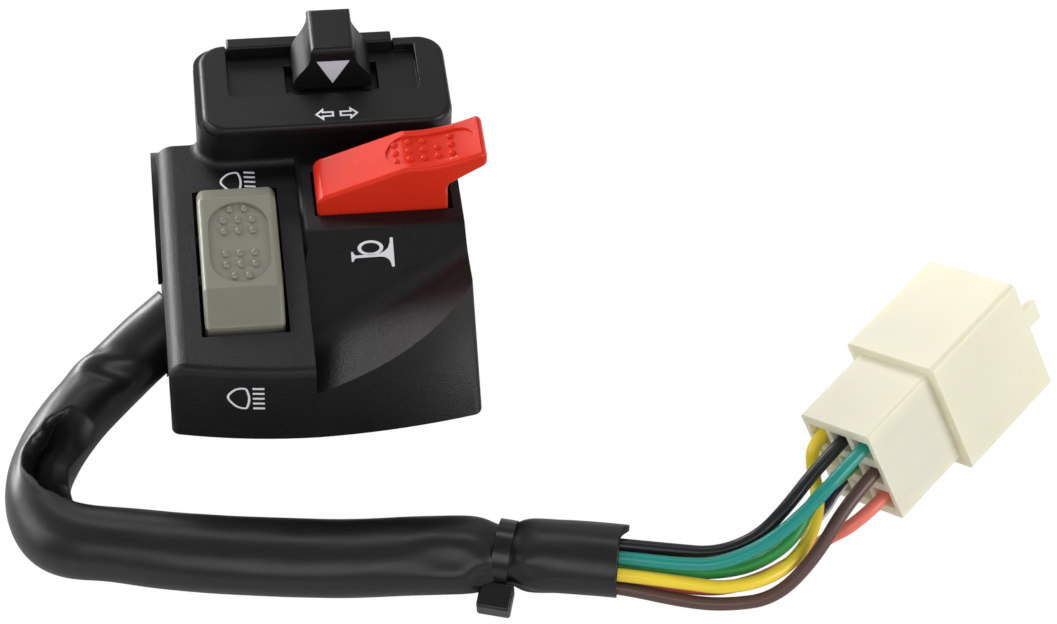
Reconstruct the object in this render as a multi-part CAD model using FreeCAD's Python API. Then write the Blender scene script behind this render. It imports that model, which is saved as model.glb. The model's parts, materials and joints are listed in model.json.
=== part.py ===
"""Left-hand motorcycle handlebar switch: turn slider, beam rocker, horn lever and wiring harness.

Millimetres. The origin is the centre of the handlebar bore. X runs along the bar, to the right as
the rider sees it, Y away from the rider's thumb and Z out of the switch face. The two housings
part at Z = 0.
"""
import math
import os

import FreeCAD
import Part

V = FreeCAD.Vector

# Housing, outside
bar_radius = 11.0
body_half_width = 25.0
front_y = -50.0
front_corner_back = 2.9
shoulder_y = 4.0
back_y = 20.8
plateau_z = 15.5
platform_rise = 2.0
step_x = -2.0
side_draft = 0.4
wall = 2.2
saddle_wall = 2.2
rim_round = 1.8
step_round = 1.0
front_corner_round = 1.5
corner_round = 3.0
block_foot_round = 1.5

# Indicator block and its cover plate
block_left = -17.8
block_front = -1.6
block_top = 22.0
block_floor = 14.0
plate_thick = 2.0
plate_inset = 0.9
plate_corner = 4.5
recess_left = -12.2
recess_right = 19.8
recess_front = 5.7
recess_back = 17.3
recess_depth = 1.5
slot_front = 8.0
slot_back = 15.0
slot_length = 15.5
skirt_depth = 1.2

# Thumb scoop in front of the horn lever
rim_y = -20.4
scoop_slope = 32.0
scoop_drop_left = 10.45
scoop_drop_right = 2.1
scoop_rise_left = 14.0
scoop_rise_right = 4.6
scoop_valley_radius = 10.0
lip_lean_mid = (11.0, 5.0)
lip_lean_end = 15.9

# Beam rocker
rocker_x = -12.4
rocker_y = -24.4
rocker_width = 12.8
rocker_length = 29.4
rocker_near_crease = -8.9
rocker_far_crease = 10.1
rocker_pivot_z = 11.0
rocker_top_z = 20.2
rocker_slope_z = 17.1
rocker_side_gap = 0.6
rocker_end_gap = 2.0
rocker_tilt = 6.0
rocker_wall = 1.8
rocker_corner_far = 2.4
rocker_corner_near = 1.2
rocker_pin_radius = 1.25
rocker_ear = 2.4
rocker_ear_half = 3.0
rocker_pad_width = 9.8
rocker_pad_length = 16.7
rocker_dot_pitch = 2.32
rocker_dot_radius = 0.5
rocker_detent_y = 7.0
rocker_detent_z = 2.0
rocker_ball_radius = 1.2
rocker_dimple = 0.2
rocker_base_height = 3.6
rocker_base_half = 5.7
rocker_base_front = 8.2
rocker_base_back = 2.4
rocker_end_lean = 0.6
rocker_edge_round = 1.1
rocker_tube_end = 1.4
rocker_tube_floor = 0.4
rocker_tube_wall = 0.7
rocker_top_wall = 3.4
rocker_end_wall = 3.2
rocker_hub_radius = 2.6
rocker_pad_depth = 0.5
rocker_pin_bite = 2.1
rocker_contact_half = 2.0
rocker_contact_length = 1.7
rocker_plate_half = 4.4
contact_thick = 0.4

# Horn lever
horn_left = 0.7
horn_side_wall = 2.5
horn_foot_z = 14.0
horn_crown = [(-7.2, 26.3), (-3.1, 26.2), (5.1, 28.9), (6.0, 28.4), (6.0, 26.2), (-0.5, 22.0), (-0.3, 21.0)]
horn_edge_round = 0.7
horn_front = -16.7
horn_back = -6.9
horn_gap = 0.4
horn_pin_x = 4.0
horn_pin_z = 15.0
horn_pin_radius = 1.0
horn_wall = 1.6
horn_hub_radius = 2.2
horn_spring_inset = 10.0
horn_contact_inset = 3.9
horn_lead_inset = 8.8
horn_post_radius = 2.6
horn_post_top = 23.6
horn_ear_half = 2.6
horn_ear_thick = 2.2
horn_pin_bite = 2.0
horn_post_y = -14.3
horn_base_top = 8.0
horn_spring_pocket = 2.0
horn_spring_seat = 17.6
horn_spring_radius = 1.2
spring_room = 0.6
horn_right_room = 0.6
horn_post_wall = 0.9
horn_spring_wire = 0.5
horn_base_reach = 2.9
horn_base_front = -20.2
horn_base_back = -12.2
horn_leaf_width = 4.6
horn_contact_radius = 1.0

# Indicator slider
knob_x = 5.3
knob_travel = 5.0
knob_front = 8.3
knob_back = 16.9
knob_base_width = 13.0
knob_top_width = 7.4
knob_top_front = 7.6
knob_top_back = 18.4
knob_top_z = 32.0
knob_top_round = 1.0
knob_top_cap = 1.2
stem_width = 5.0
stem_depth = 4.4
strip_right = 16.1
strip_rise = 0.8
carriage_half = 8.0
carriage_low = 16.6
carriage_back_gap = 2.4
detent_z = 18.6
detent_plate_thick = 1.0
detent_plate_half = 8.6
indicator_ball_radius = 1.2
detent_spring_radius = 0.8
detent_spring_wire = 0.35
detent_spring_length = 5.1
board_thick = 1.6
board_margin = 0.4
board_front = 3.6
rivet_pitch = 7.3
rivet_y = 9.0
rivet_radius = 1.0
rivet_head_radius = 1.8
rivet_head = 0.5
wiper_half = 5.6

# Flat lead to the indicator contacts
lead_width = 2.5
lead_thick = 0.9

# General fits
slide_gap = 0.2
pin_gap = 0.05
float_gap = 0.4
press_gap = 0.02
pin_end_gap = 0.1

# Screws
clamp_screw_x = 0.0
clamp_screw_front = -17.4
clamp_screw_back = 15.3
clamp_screw_radius = 2.5
clamp_head_radius = 4.4
clamp_head_height = 3.0
clamp_boss_radius = 4.3
clamp_boss_top = 10.5
collar_proud = 0.9
small_screw_radius = 1.2
small_head_radius = 2.4
small_head_height = 1.6
small_slot_half = 1.4
small_slot_thick = 0.25
small_slot_depth = 0.8
screw_room = 0.25
screw_seat_room = 0.3
base_boss_radius = 2.6
base_screw_front = -42.7
base_screw_back = -25.0
base_screw_inset_left = 5.2
base_screw_inset_right = 9.5
base_screw_inset_back = 6.0
base_screw_bite = 3.6

# Rear housing and inner floor
rear_depth = 14.5
rear_front_y = -31.5
rear_wall = 2.0
rear_round = 2.0
base_plate_thick = 2.0
wire_hole_front = -21.0
wire_hole_back = -14.6
lead_hole_front = -25.6
lead_hole_back = -21.6
lead_hole_half = 2.3
lead_hole_round = 1.2

# Harness
sleeve_diameter = 11.3
wire_diameter = 2.2
cable_exit_y = -20.5
cable_exit_z = -3.2
cable_turn = 29.0
cable_dip = 25.0
cable_inside = 3.2
cable_bore_gap = 0.1
grommet_thick = 0.45
exit_reach = 8.0
grommet_proud = 0.4
wire_gap = 0.3
tie_x = 26.1
tie_width = 2.7
tie_thick = 1.1
tie_sink = 1.15
tie_skew = 12.0
tie_head_angle = 20.0
tie_head_size = (5.4, 4.0, 4.2)
tie_tail_width = 3.0

# Connector
conn_yaw = 40.7
conn_pitch = 11.1
conn_roll = 23.6
conn_place = (83.6, -61.1, -3.25)
conn_width = 15.1
conn_height = 18.4
conn_length = 15.2
hood_width = 19.2
hood_height = 22.2
hood_length = 21.5
hood_wall = 1.4
latch_half_width = 1.8
latch_offset = -3.4
latch_reach = 2.8
hood_floor = 2.0
crimp_end = 9.0
crimp_radius = 1.35
terminal_half_height = 1.2
blade_half_width = 1.2
blade_half_thick = 0.35
blade_length = 7.0
cell_pitch_a = 4.7
cell_pitch_b = 5.4
cell_size = 3.6
terminal_start = 4.0

# Sizes that follow from those above
platform_z = plateau_z + platform_rise
plate_top = block_top + plate_thick
recess_z = plate_top - recess_depth
floor_z = -rear_depth
horn_right = body_half_width - horn_side_wall
horn_spring_x = horn_right - horn_spring_inset
horn_contact_x = horn_right - horn_contact_inset
horn_lead_x = horn_right - horn_lead_inset
lead_left = horn_spring_x - horn_base_reach - slide_gap - lead_width
cable_exit = (-body_half_width, cable_exit_y, cable_exit_z)
big = 200.0


def box(x0, x1, y0, y1, z0, z1):
    return Part.makeBox(x1 - x0, y1 - y0, z1 - z0, V(x0, y0, z0))


def rod_x(x0, x1, y, z, r):
    return Part.makeCylinder(r, x1 - x0, V(x0, y, z), V(1, 0, 0))


def rod_y(y0, y1, x, z, r):
    return Part.makeCylinder(r, y1 - y0, V(x, y0, z), V(0, 1, 0))


def rod_z(z0, z1, x, y, r):
    return Part.makeCylinder(r, z1 - z0, V(x, y, z0), V(0, 0, 1))


def rounded_block(x0, x1, y0, y1, z0, z1, r):
    """A block with its four upright edges rounded."""
    solid = box(x0, x1, y0, y1, z0, z1)
    upright = [e for e in solid.Edges if abs(e.tangentAt(e.FirstParameter).z) > 0.99]
    return solid.makeFillet(r, upright)


def edges_where(shape, test):
    """Edges whose middle and both ends satisfy the test."""
    found = []
    for e in shape.Edges:
        mid = e.valueAt((e.FirstParameter + e.LastParameter) / 2)
        points = [mid] + [v.Point for v in e.Vertexes]
        if all(test(p) for p in points):
            found.append(e)
    return found


def prism_x(points, x0, x1):
    """A straight extrusion along X of a closed outline of (y, z) corners."""
    wire = Part.makePolygon([V(x0, y, z) for y, z in points] + [V(x0, points[0][0], points[0][1])])
    return Part.Face(wire).extrude(V(x1 - x0, 0, 0))


def prism_y(points, y0, y1):
    """A straight extrusion along Y of a closed outline of (x, z) corners."""
    wire = Part.makePolygon([V(x, y0, z) for x, z in points] + [V(points[0][0], y0, points[0][1])])
    return Part.Face(wire).extrude(V(0, y1 - y0, 0))


def plan_wire(z, inset, lean):
    """The housing's outline at height z, set in by a wall, its front right leaning back."""
    left = -body_half_width + inset
    right = body_half_width - inset
    corner = front_y + front_corner_back + inset
    front = front_y + inset
    a = V(left, shoulder_y - inset, z)
    b = V(left, corner, z)
    split = V(step_x, front, z)
    quarter = V((left + step_x) / 2, front + front_corner_back * 0.27, z)
    if lean:
        over = V(lip_lean_mid[0], front + lip_lean_mid[1], z)
        end = V(right - side_draft, corner + lip_lean_end, z)
    else:
        over = V((right + step_x) / 2, front + front_corner_back * 0.27, z)
        end = V(right, corner, z)
    back_right = V(end.x, back_y - inset, z)
    back_left = V(block_left + inset, back_y - inset, z)
    notch = V(block_left + inset, shoulder_y - inset, z)
    edges = [
        Part.makeLine(a, b),
        Part.Arc(b, quarter, split).toShape(),
        Part.Arc(split, over, end).toShape(),
        Part.makeLine(end, back_right),
        Part.makeLine(back_right, back_left),
        Part.makeLine(back_left, notch),
        Part.makeLine(notch, a),
    ]
    return Part.Wire(edges)


def scoop_profile(x, drop, rise_deg, push):
    """Section of the scoop at x: a slope down from the rim, a round valley and a rise to the lip."""
    slope = math.radians(scoop_slope)
    rise = math.radians(rise_deg)
    run = drop / math.tan(slope)
    down = V(0, -math.cos(slope), -math.sin(slope))
    up = V(0, -math.cos(rise), math.sin(rise))
    rim = V(x, rim_y, platform_z + push)
    valley = rim + down * (run / math.cos(slope))
    turn = slope + rise
    cut = min(scoop_valley_radius * math.tan(turn / 2), 0.8 * run)
    radius = cut / math.tan(turn / 2)
    start = valley - down * cut
    end = valley + up * cut
    bend = (up - down).normalize()
    centre = valley + bend * (radius / math.cos(turn / 2))
    middle = centre - bend * radius
    far = valley + up * ((valley.y - front_y + 12.0) / math.cos(rise))
    return Part.Wire([
        Part.makeLine(rim, start),
        Part.Arc(start, middle, end).toShape(),
        Part.makeLine(end, far),
    ])


def scoop_cutter(push):
    """Everything above the scoop's surface; push lowers it for the inside of the wall."""
    left = step_x - (wall if push else 0.0)
    left_edge = scoop_profile(left, scoop_drop_left, scoop_rise_left, push)
    right_edge = scoop_profile(body_half_width + 1.0, scoop_drop_right, scoop_rise_right, push)
    skin = Part.makeLoft([left_edge, right_edge], False, True)
    solids = [face.extrude(V(0, 0, big / 4)) for face in skin.Faces]
    return solids[0].multiFuse(solids[1:])


def housing_outside():
    body = Part.makeLoft([plan_wire(0.0, 0.0, False), plan_wire(platform_z, 0.0, True)], True, True)
    block = rounded_block(block_left, body_half_width - 0.1, block_front, back_y, 0.0, block_top,
                          plate_corner)
    filler = box(block_left, body_half_width - side_draft - 0.1, block_front + 2.0, back_y,
                 0.0, platform_z - 2.0)
    body = body.cut(box(-big, step_x, -big, block_front + 6.0, plateau_z, big))
    body = body.cut(scoop_cutter(0.0))
    return body.fuse(block).fuse(filler).removeSplitter()


def round_outside(body):
    """Round the edges that a thumb meets."""
    def left_top(p):
        return abs(p.z - plateau_z) < 0.01 and p.x < -body_half_width + 1.0 and p.y < shoulder_y + 0.1

    def rim(p):
        return abs(p.z - platform_z) < 0.01 and abs(p.y - rim_y) < 0.01

    def front_left(p):
        return p.x < -body_half_width + 1.0 and p.y < front_y + 4.0 and p.y > front_y + 1.0

    def front_right(p):
        return p.x > body_half_width - 1.0 and p.y < rim_y - 1.0

    def step_top(p):
        return abs(p.z - platform_z) < 0.01 and abs(p.x - step_x) < 0.01

    def block_foot(p):
        beside = block_left - 0.01 < p.x < step_x + 0.01
        return abs(p.z - plateau_z) < 0.01 and beside and block_front - 0.01 < p.y < shoulder_y + 0.01

    body = body.makeFillet(rim_round, edges_where(body, rim))
    body = body.makeFillet(corner_round, edges_where(body, left_top))
    corners = edges_where(body, front_left) + edges_where(body, front_right)
    corners = [e for e in corners if e.BoundBox.ZLength > plateau_z / 2]
    body = body.makeFillet(front_corner_round, corners)
    body = body.makeFillet(step_round, edges_where(body, step_top))
    return body.makeFillet(block_foot_round, edges_where(body, block_foot))


def rocker_opening():
    half = rocker_width / 2 + rocker_side_gap
    front = rocker_y - rocker_length / 2 - rocker_end_gap
    back = rocker_y + rocker_length / 2 + rocker_end_gap
    through = box(rocker_x - half, rocker_x + half, front, back, wall, plateau_z + 1.0)
    return through.cut(rod_x(-big / 2, big / 2, 0.0, 0.0, bar_radius + saddle_wall))


def horn_opening():
    return box(horn_left - horn_gap, horn_right + horn_right_room,
               horn_front - horn_gap, horn_back + horn_gap,
               block_floor - 2.0, platform_z + 1.0)


def front_housing():
    outside = round_outside(housing_outside())
    hollow = Part.makeLoft([plan_wire(-1.0, wall, False), plan_wire(platform_z, wall, True)], True, True)
    hollow = hollow.cut(box(-big, big, block_front + wall, big, -big, big))
    hollow = hollow.cut(box(-big, big, -big, big, platform_z - wall, big))
    hollow = hollow.cut(box(-big, step_x + wall, -big, big, plateau_z - wall, big))
    hollow = hollow.cut(scoop_cutter(-wall * 1.3))
    hollow = hollow.cut(rod_x(-big / 2, big / 2, 0.0, 0.0, bar_radius + saddle_wall))
    chamber = box(block_left + wall, body_half_width - wall, block_front + wall, back_y - wall,
                  block_floor, block_top + 1.0)
    core_front = bar_radius + saddle_wall
    core = box(block_left + wall, body_half_width - wall, core_front, back_y - wall, -1.0,
               block_floor - wall)
    body = outside.cut(hollow).cut(chamber).cut(core)
    bosses = [
        rod_z(0.0, clamp_boss_top, clamp_screw_x, clamp_screw_front, clamp_boss_radius),
        rod_z(0.0, clamp_boss_top, clamp_screw_x, clamp_screw_back, clamp_boss_radius),
    ]
    half = rocker_width / 2 + rocker_side_gap
    ear_low = rocker_pivot_z - rocker_hub_radius
    ear_back = rocker_y + rocker_detent_y + rocker_hub_radius
    bosses.append(box(-body_half_width + wall, rocker_x - half, rocker_y - rocker_ear_half, ear_back,
                      ear_low, plateau_z - wall))
    bosses.append(box(rocker_x + half, rocker_x + half + rocker_ear, rocker_y - rocker_ear_half,
                      rocker_y + rocker_ear_half, ear_low, plateau_z - wall))
    horn_ear_low = horn_pin_z - horn_hub_radius - slide_gap
    bosses.append(box(horn_pin_x - horn_ear_half, horn_pin_x + horn_ear_half,
                      horn_front - horn_gap - horn_ear_thick, horn_front - horn_gap, horn_ear_low,
                      platform_z - wall))
    bosses.append(box(horn_pin_x - horn_ear_half, horn_pin_x + horn_ear_half, horn_back + horn_gap,
                      block_front + wall, horn_ear_low, platform_z - wall))
    for x, y in base_screw_places():
        bosses.append(rod_z(base_plate_thick, platform_z, x, y, base_boss_radius).common(outside))
    collar = rod_x(-body_half_width - collar_proud, -body_half_width + wall, 0.0, 0.0,
                   bar_radius + saddle_wall)
    bosses.append(collar.common(box(-big, 0.0, -big, big, 0.0, big)))
    body = body.multiFuse(bosses)
    cuts = [
        rod_x(-big / 2, big / 2, 0.0, 0.0, bar_radius),
        rod_z(-1.0, clamp_boss_top - 1.0, clamp_screw_x, clamp_screw_front, clamp_screw_radius + pin_gap),
        rod_z(-1.0, clamp_boss_top - 1.0, clamp_screw_x, clamp_screw_back, clamp_screw_radius + pin_gap),
        rocker_opening(),
        horn_opening(),
        rocker_pin_bore(),
        horn_pin_bore(),
    ]
    for x, y in base_screw_places():
        cuts.append(rod_z(0.0, base_plate_thick + base_screw_bite + 0.3, x, y,
                          small_screw_radius + pin_gap))
    for y, z in rocker_detent_places():
        place = V(rocker_x - half - rocker_dimple + rocker_ball_radius, y, z)
        cuts.append(Part.makeSphere(rocker_ball_radius, place))
    cuts.append(exit_rod(-exit_reach, exit_reach, sleeve_diameter / 2 + cable_bore_gap + grommet_thick)
                .common(box(-big, -body_half_width + wall + 2.0, -big, big, -big, big)))
    for c in cuts:
        body = body.cut(c)
    return body


def base_screw_places():
    return [
        (-body_half_width + base_screw_inset_left, base_screw_front),
        (body_half_width - base_screw_inset_right, base_screw_front),
        (body_half_width - base_screw_inset_back, base_screw_back),
    ]


def rocker_pin_span():
    half = rocker_width / 2 + rocker_side_gap
    return rocker_x - half - rocker_pin_bite, rocker_x + half + rocker_pin_bite


def rocker_pin_bore():
    x0, x1 = rocker_pin_span()
    return rod_x(x0 - pin_end_gap, x1 + pin_end_gap, rocker_y, rocker_pivot_z,
                 rocker_pin_radius + press_gap)


def rocker_pin():
    x0, x1 = rocker_pin_span()
    return rod_x(x0, x1, rocker_y, rocker_pivot_z, rocker_pin_radius)


def horn_pin_span():
    return horn_front - horn_gap - horn_pin_bite, horn_back + horn_gap + horn_pin_bite


def horn_pin_bore():
    y0, y1 = horn_pin_span()
    return rod_y(y0 - pin_end_gap, y1 + pin_end_gap, horn_pin_x, horn_pin_z,
                 horn_pin_radius + press_gap)


def horn_pin():
    y0, y1 = horn_pin_span()
    return rod_y(y0, y1, horn_pin_x, horn_pin_z, horn_pin_radius)


def beam_rocker():
    half_w = rocker_width / 2
    half_l = rocker_length / 2
    left = rocker_x - half_w
    right = rocker_x + half_w
    skirt_z = rocker_pivot_z
    outline = [
        (-half_l + rocker_end_lean, skirt_z), (half_l - rocker_end_lean, skirt_z),
        (half_l, rocker_slope_z),
        (rocker_far_crease, rocker_top_z), (rocker_near_crease, rocker_top_z),
        (-half_l, rocker_slope_z),
    ]
    solid = prism_x([(rocker_y + y, z) for y, z in outline], left, right)
    solid = solid.makeFillet(rocker_edge_round, edges_where(solid, lambda p: p.z > rocker_slope_z - 0.01))
    plan = box(left, right, rocker_y - half_l, rocker_y + half_l, skirt_z - 1.0, rocker_top_z + 1.0)
    corners = edges_where(plan, lambda p: abs(abs(p.x - rocker_x) - half_w) < 0.01)
    far = [e for e in corners if e.BoundBox.YMin > rocker_y + half_l - 0.01]
    plan = plan.makeFillet(rocker_corner_far, far)
    corners = edges_where(plan, lambda p: abs(abs(p.x - rocker_x) - half_w) < 0.01)
    near = [e for e in corners if e.BoundBox.YMax < rocker_y - half_l + 0.01]
    solid = solid.common(plan.makeFillet(rocker_corner_near, near))
    inner_top = rocker_top_z - rocker_top_wall
    solid = solid.cut(box(left + rocker_wall, right - rocker_wall, rocker_y - half_l + rocker_end_wall,
                          rocker_y + half_l - rocker_end_wall, skirt_z - 1.0, inner_top))
    web = box(left + rocker_wall, right - rocker_wall, rocker_y - rocker_hub_radius,
              rocker_y + rocker_hub_radius, rocker_pivot_z - 1.0, inner_top)
    hub = rod_x(left, right, rocker_y, rocker_pivot_z, rocker_hub_radius)
    tube_y = rocker_y + rocker_detent_y
    tube_z = rocker_pivot_z + rocker_detent_z
    tube = rod_x(left, rocker_x + rocker_tube_end, tube_y, tube_z,
                 rocker_ball_radius + rocker_tube_wall)
    solid = solid.multiFuse([web, hub, tube])
    solid = solid.cut(rod_x(left - 1.0, rocker_x + rocker_tube_floor, tube_y, tube_z,
                            rocker_ball_radius + pin_gap))
    solid = solid.cut(rod_x(rocker_x - big, rocker_x + big, rocker_y, rocker_pivot_z,
                            rocker_pin_radius + pin_gap))
    middle = rocker_y + (rocker_near_crease + rocker_far_crease) / 2
    solid = solid.cut(thumb_pad(rocker_x, middle, rocker_top_z, rocker_pad_width, rocker_pad_length,
                                rocker_pad_depth))
    dots = []
    for dx, dy in rocker_dots():
        dots.append(rod_z(rocker_top_z - rocker_pad_depth - 0.1, rocker_top_z - 0.15, rocker_x + dx,
                          middle + dy, rocker_dot_radius))
    return tilt_rocker(solid.multiFuse(dots))


def rocker_dots():
    """Sixteen grip dots: rows of three, three and two towards each end of the pad."""
    places = []
    for side in (1, -1):
        for row, count in enumerate((3, 3, 2)):
            for k in range(count):
                across = (k - (count - 1) / 2) * rocker_dot_pitch
                places.append((across, side * (row + 1) * rocker_dot_pitch))
    return places


def rocker_detent_places():
    """Where the detent ball meets the opening's wall, at the rocker's two settings."""
    places = []
    for tilt in (rocker_tilt, -rocker_tilt):
        t = math.radians(tilt)
        places.append((
            rocker_y + rocker_detent_y * math.cos(t) - rocker_detent_z * math.sin(t),
            rocker_pivot_z + rocker_detent_y * math.sin(t) + rocker_detent_z * math.cos(t),
        ))
    return places


def rocker_detent_ball():
    wall_x = rocker_x - rocker_width / 2 - rocker_side_gap
    place = V(wall_x + rocker_ball_radius + pin_gap, rocker_y + rocker_detent_y,
              rocker_pivot_z + rocker_detent_z)
    return tilt_rocker(Part.makeSphere(rocker_ball_radius, place))


def rocker_detent_spring():
    wall_x = rocker_x - rocker_width / 2 - rocker_side_gap
    start = wall_x + 2 * rocker_ball_radius + 2 * pin_gap
    spring = coil(detent_spring_radius, detent_spring_wire, rocker_x + rocker_tube_floor - start, 6)
    spring.rotate(V(0, 0, 0), V(0, 1, 0), 90)
    spring.translate(V(start, rocker_y + rocker_detent_y, rocker_pivot_z + rocker_detent_z))
    return tilt_rocker(spring)


def thumb_pad(x, y, z, width, length, depth):
    """A shallow pocket with fully rounded ends, long along Y."""
    r = width / 2
    straight = length / 2 - r
    body = box(x - r, x + r, y - straight, y + straight, z - depth, z + 1.0)
    ends = [rod_z(z - depth, z + 1.0, x, y + s * straight, r) for s in (1, -1)]
    return body.multiFuse(ends)


def tilt_rocker(shape):
    """The rocker rests with its near end down."""
    shape = shape.copy()
    shape.rotate(V(rocker_x, rocker_y, rocker_pivot_z), V(1, 0, 0), rocker_tilt)
    return shape


def horn_profile():
    """Side view of the lever: its left end, a ramp, a hollow top and an upturned tip."""
    start = [(horn_left + 0.2, horn_foot_z), (horn_left, 19.6), (horn_left + 2.2, 21.4)]
    crown = [(horn_right + dx, z) for dx, z in horn_crown]
    return start + crown + [(horn_right, horn_foot_z)]


def horn_lever():
    solid = prism_y(horn_profile(), horn_front, horn_back)
    tops = edges_where(solid, lambda p: p.z > 19.0 and (p.z > 22.5 or p.x < horn_right - 6.5))
    solid = solid.makeFillet(horn_edge_round, tops)
    inner = [
        (horn_left + 2.0, 12.0), (horn_left + 2.0, 18.6), (horn_right - 6.9, 23.6),
        (horn_right - 2.9, 23.4), (horn_right - 2.1, 12.0),
    ]
    solid = solid.cut(prism_y(inner, horn_front + horn_wall, horn_back - horn_wall))
    hub = rod_y(horn_front, horn_back, horn_pin_x, horn_pin_z, horn_hub_radius)
    room = box(0.0, big, horn_front, horn_back, horn_foot_z, horn_post_top)
    contact_post = horn_contact_radius + horn_post_wall
    posts = [
        rod_z(horn_foot_z, horn_post_top, horn_spring_x, horn_post_y, horn_post_radius).common(room),
        rod_z(horn_foot_z, horn_post_top, horn_contact_x, horn_post_y, contact_post).common(room),
    ]
    solid = solid.multiFuse([hub] + posts)
    low = horn_foot_z - 1.0
    pocket = horn_spring_radius + spring_room
    solid = solid.cut(rod_z(low, horn_spring_seat, horn_spring_x, horn_post_y, pocket))
    solid = solid.cut(rod_z(low, horn_contact_pin_top() + 0.2, horn_contact_x, horn_post_y,
                            horn_contact_radius + pin_gap))
    solid = solid.cut(rod_y(horn_front - 1, horn_back + 1, horn_pin_x, horn_pin_z,
                            horn_pin_radius + pin_gap))
    return solid


def coil(radius, wire, height, turns):
    """A compression spring standing on Z = 0."""
    pitch = (height - wire) / turns
    helix = Part.makeHelix(pitch, height - wire, radius)
    profile = Part.Wire(Part.makeCircle(wire / 2, V(radius, 0, 0), V(0, 1, 0)))
    solid = Part.Wire(helix.Edges).makePipeShell([profile], True, True)
    solid.translate(V(0, 0, wire / 2))
    return solid


def horn_spring():
    low = horn_base_top - horn_spring_pocket
    spring = coil(horn_spring_radius, horn_spring_wire, horn_spring_seat - pin_gap - low, 8)
    spring.translate(V(horn_spring_x, horn_post_y, low))
    return spring


def horn_contact_base():
    block = box(horn_spring_x - horn_base_reach, horn_contact_x + 3.0, horn_base_front, horn_base_back,
                base_plate_thick, horn_base_top)
    block = block.cut(rod_x(-big, big, 0.0, 0.0, bar_radius + saddle_wall + slide_gap))
    return block.cut(rod_z(horn_base_top - horn_spring_pocket, horn_base_top + 1, horn_spring_x,
                           horn_post_y, horn_spring_radius + spring_room))


def horn_contact_leaf():
    x0 = horn_contact_x - 2.2
    x1 = x0 + horn_leaf_width
    front = horn_base_front - contact_thick
    high = horn_base_top + contact_thick
    top = box(x0, x1, front, horn_base_back - 0.6, horn_base_top, high)
    tail = box(x0, x1, front, horn_base_front, horn_base_top - 3.0, high)
    return top.fuse(tail).removeSplitter()


def horn_contact_pin_top():
    return horn_base_top + 8.8


def horn_contact_pin():
    """The lever's moving contact: it comes down on the leaf at the end of the press."""
    low = horn_base_top + 2.2
    tip_height = 0.4
    pin = rod_z(low + tip_height, horn_contact_pin_top(), horn_contact_x, horn_post_y,
                horn_contact_radius)
    tip = Part.makeCone(0.6 * horn_contact_radius, horn_contact_radius, tip_height,
                        V(horn_contact_x, horn_post_y, low))
    return pin.fuse(tip)


def inner_floor(inset):
    """The housing's hollow near the parting plane, for what lies in it."""
    return Part.makeLoft([plan_wire(-1.0, inset, False), plan_wire(platform_z, inset, True)], True, True)


def base_plate():
    plate = inner_floor(wall + slide_gap)
    plate = plate.common(box(-big, big, -big, 0.0, 0.0, base_plate_thick))
    cuts = [
        rod_x(-big / 2, big / 2, 0.0, 0.0, bar_radius + saddle_wall + slide_gap),
        rod_z(-1, 5, clamp_screw_x, clamp_screw_front, clamp_boss_radius + slide_gap),
        rounded_block(-body_half_width + 4.5, rocker_x + 3.4, wire_hole_front, wire_hole_back, -1.0,
                      5.0, lead_hole_round),
        rounded_block(horn_lead_x - lead_hole_half, horn_lead_x + lead_hole_half, lead_hole_front,
                      lead_hole_back, -1.0, 5.0, lead_hole_round),
        exit_rod(-exit_reach, exit_reach, sleeve_diameter / 2 + grommet_thick + slide_gap),
    ]
    for x, y in base_screw_places():
        cuts.append(rod_z(-1, 5, x, y, small_screw_radius + 0.15))
    for c in cuts:
        plate = plate.cut(c)
    return plate


def base_plate_screws():
    screws = []
    for x, y in base_screw_places():
        shank = rod_z(0.0, base_plate_thick + base_screw_bite, x, y, small_screw_radius)
        head = rod_z(-small_head_height, 0.0, x, y, small_head_radius)
        rim = edges_where(head, lambda p: p.z < -small_head_height + 0.01)
        head = head.makeFillet(0.5, rim)
        for along_x, along_y in ((small_slot_half, small_slot_thick), (small_slot_thick, small_slot_half)):
            head = head.cut(box(x - along_x, x + along_x, y - along_y, y + along_y, -2.0,
                                -small_head_height + small_slot_depth))
        screws.append(shank.fuse(head))
    return Part.makeCompound(screws)


def rear_outline():
    return [
        (-body_half_width, rear_front_y), (body_half_width, rear_front_y),
        (body_half_width, back_y), (block_left, back_y), (block_left, shoulder_y),
        (-body_half_width, shoulder_y),
    ]


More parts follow.
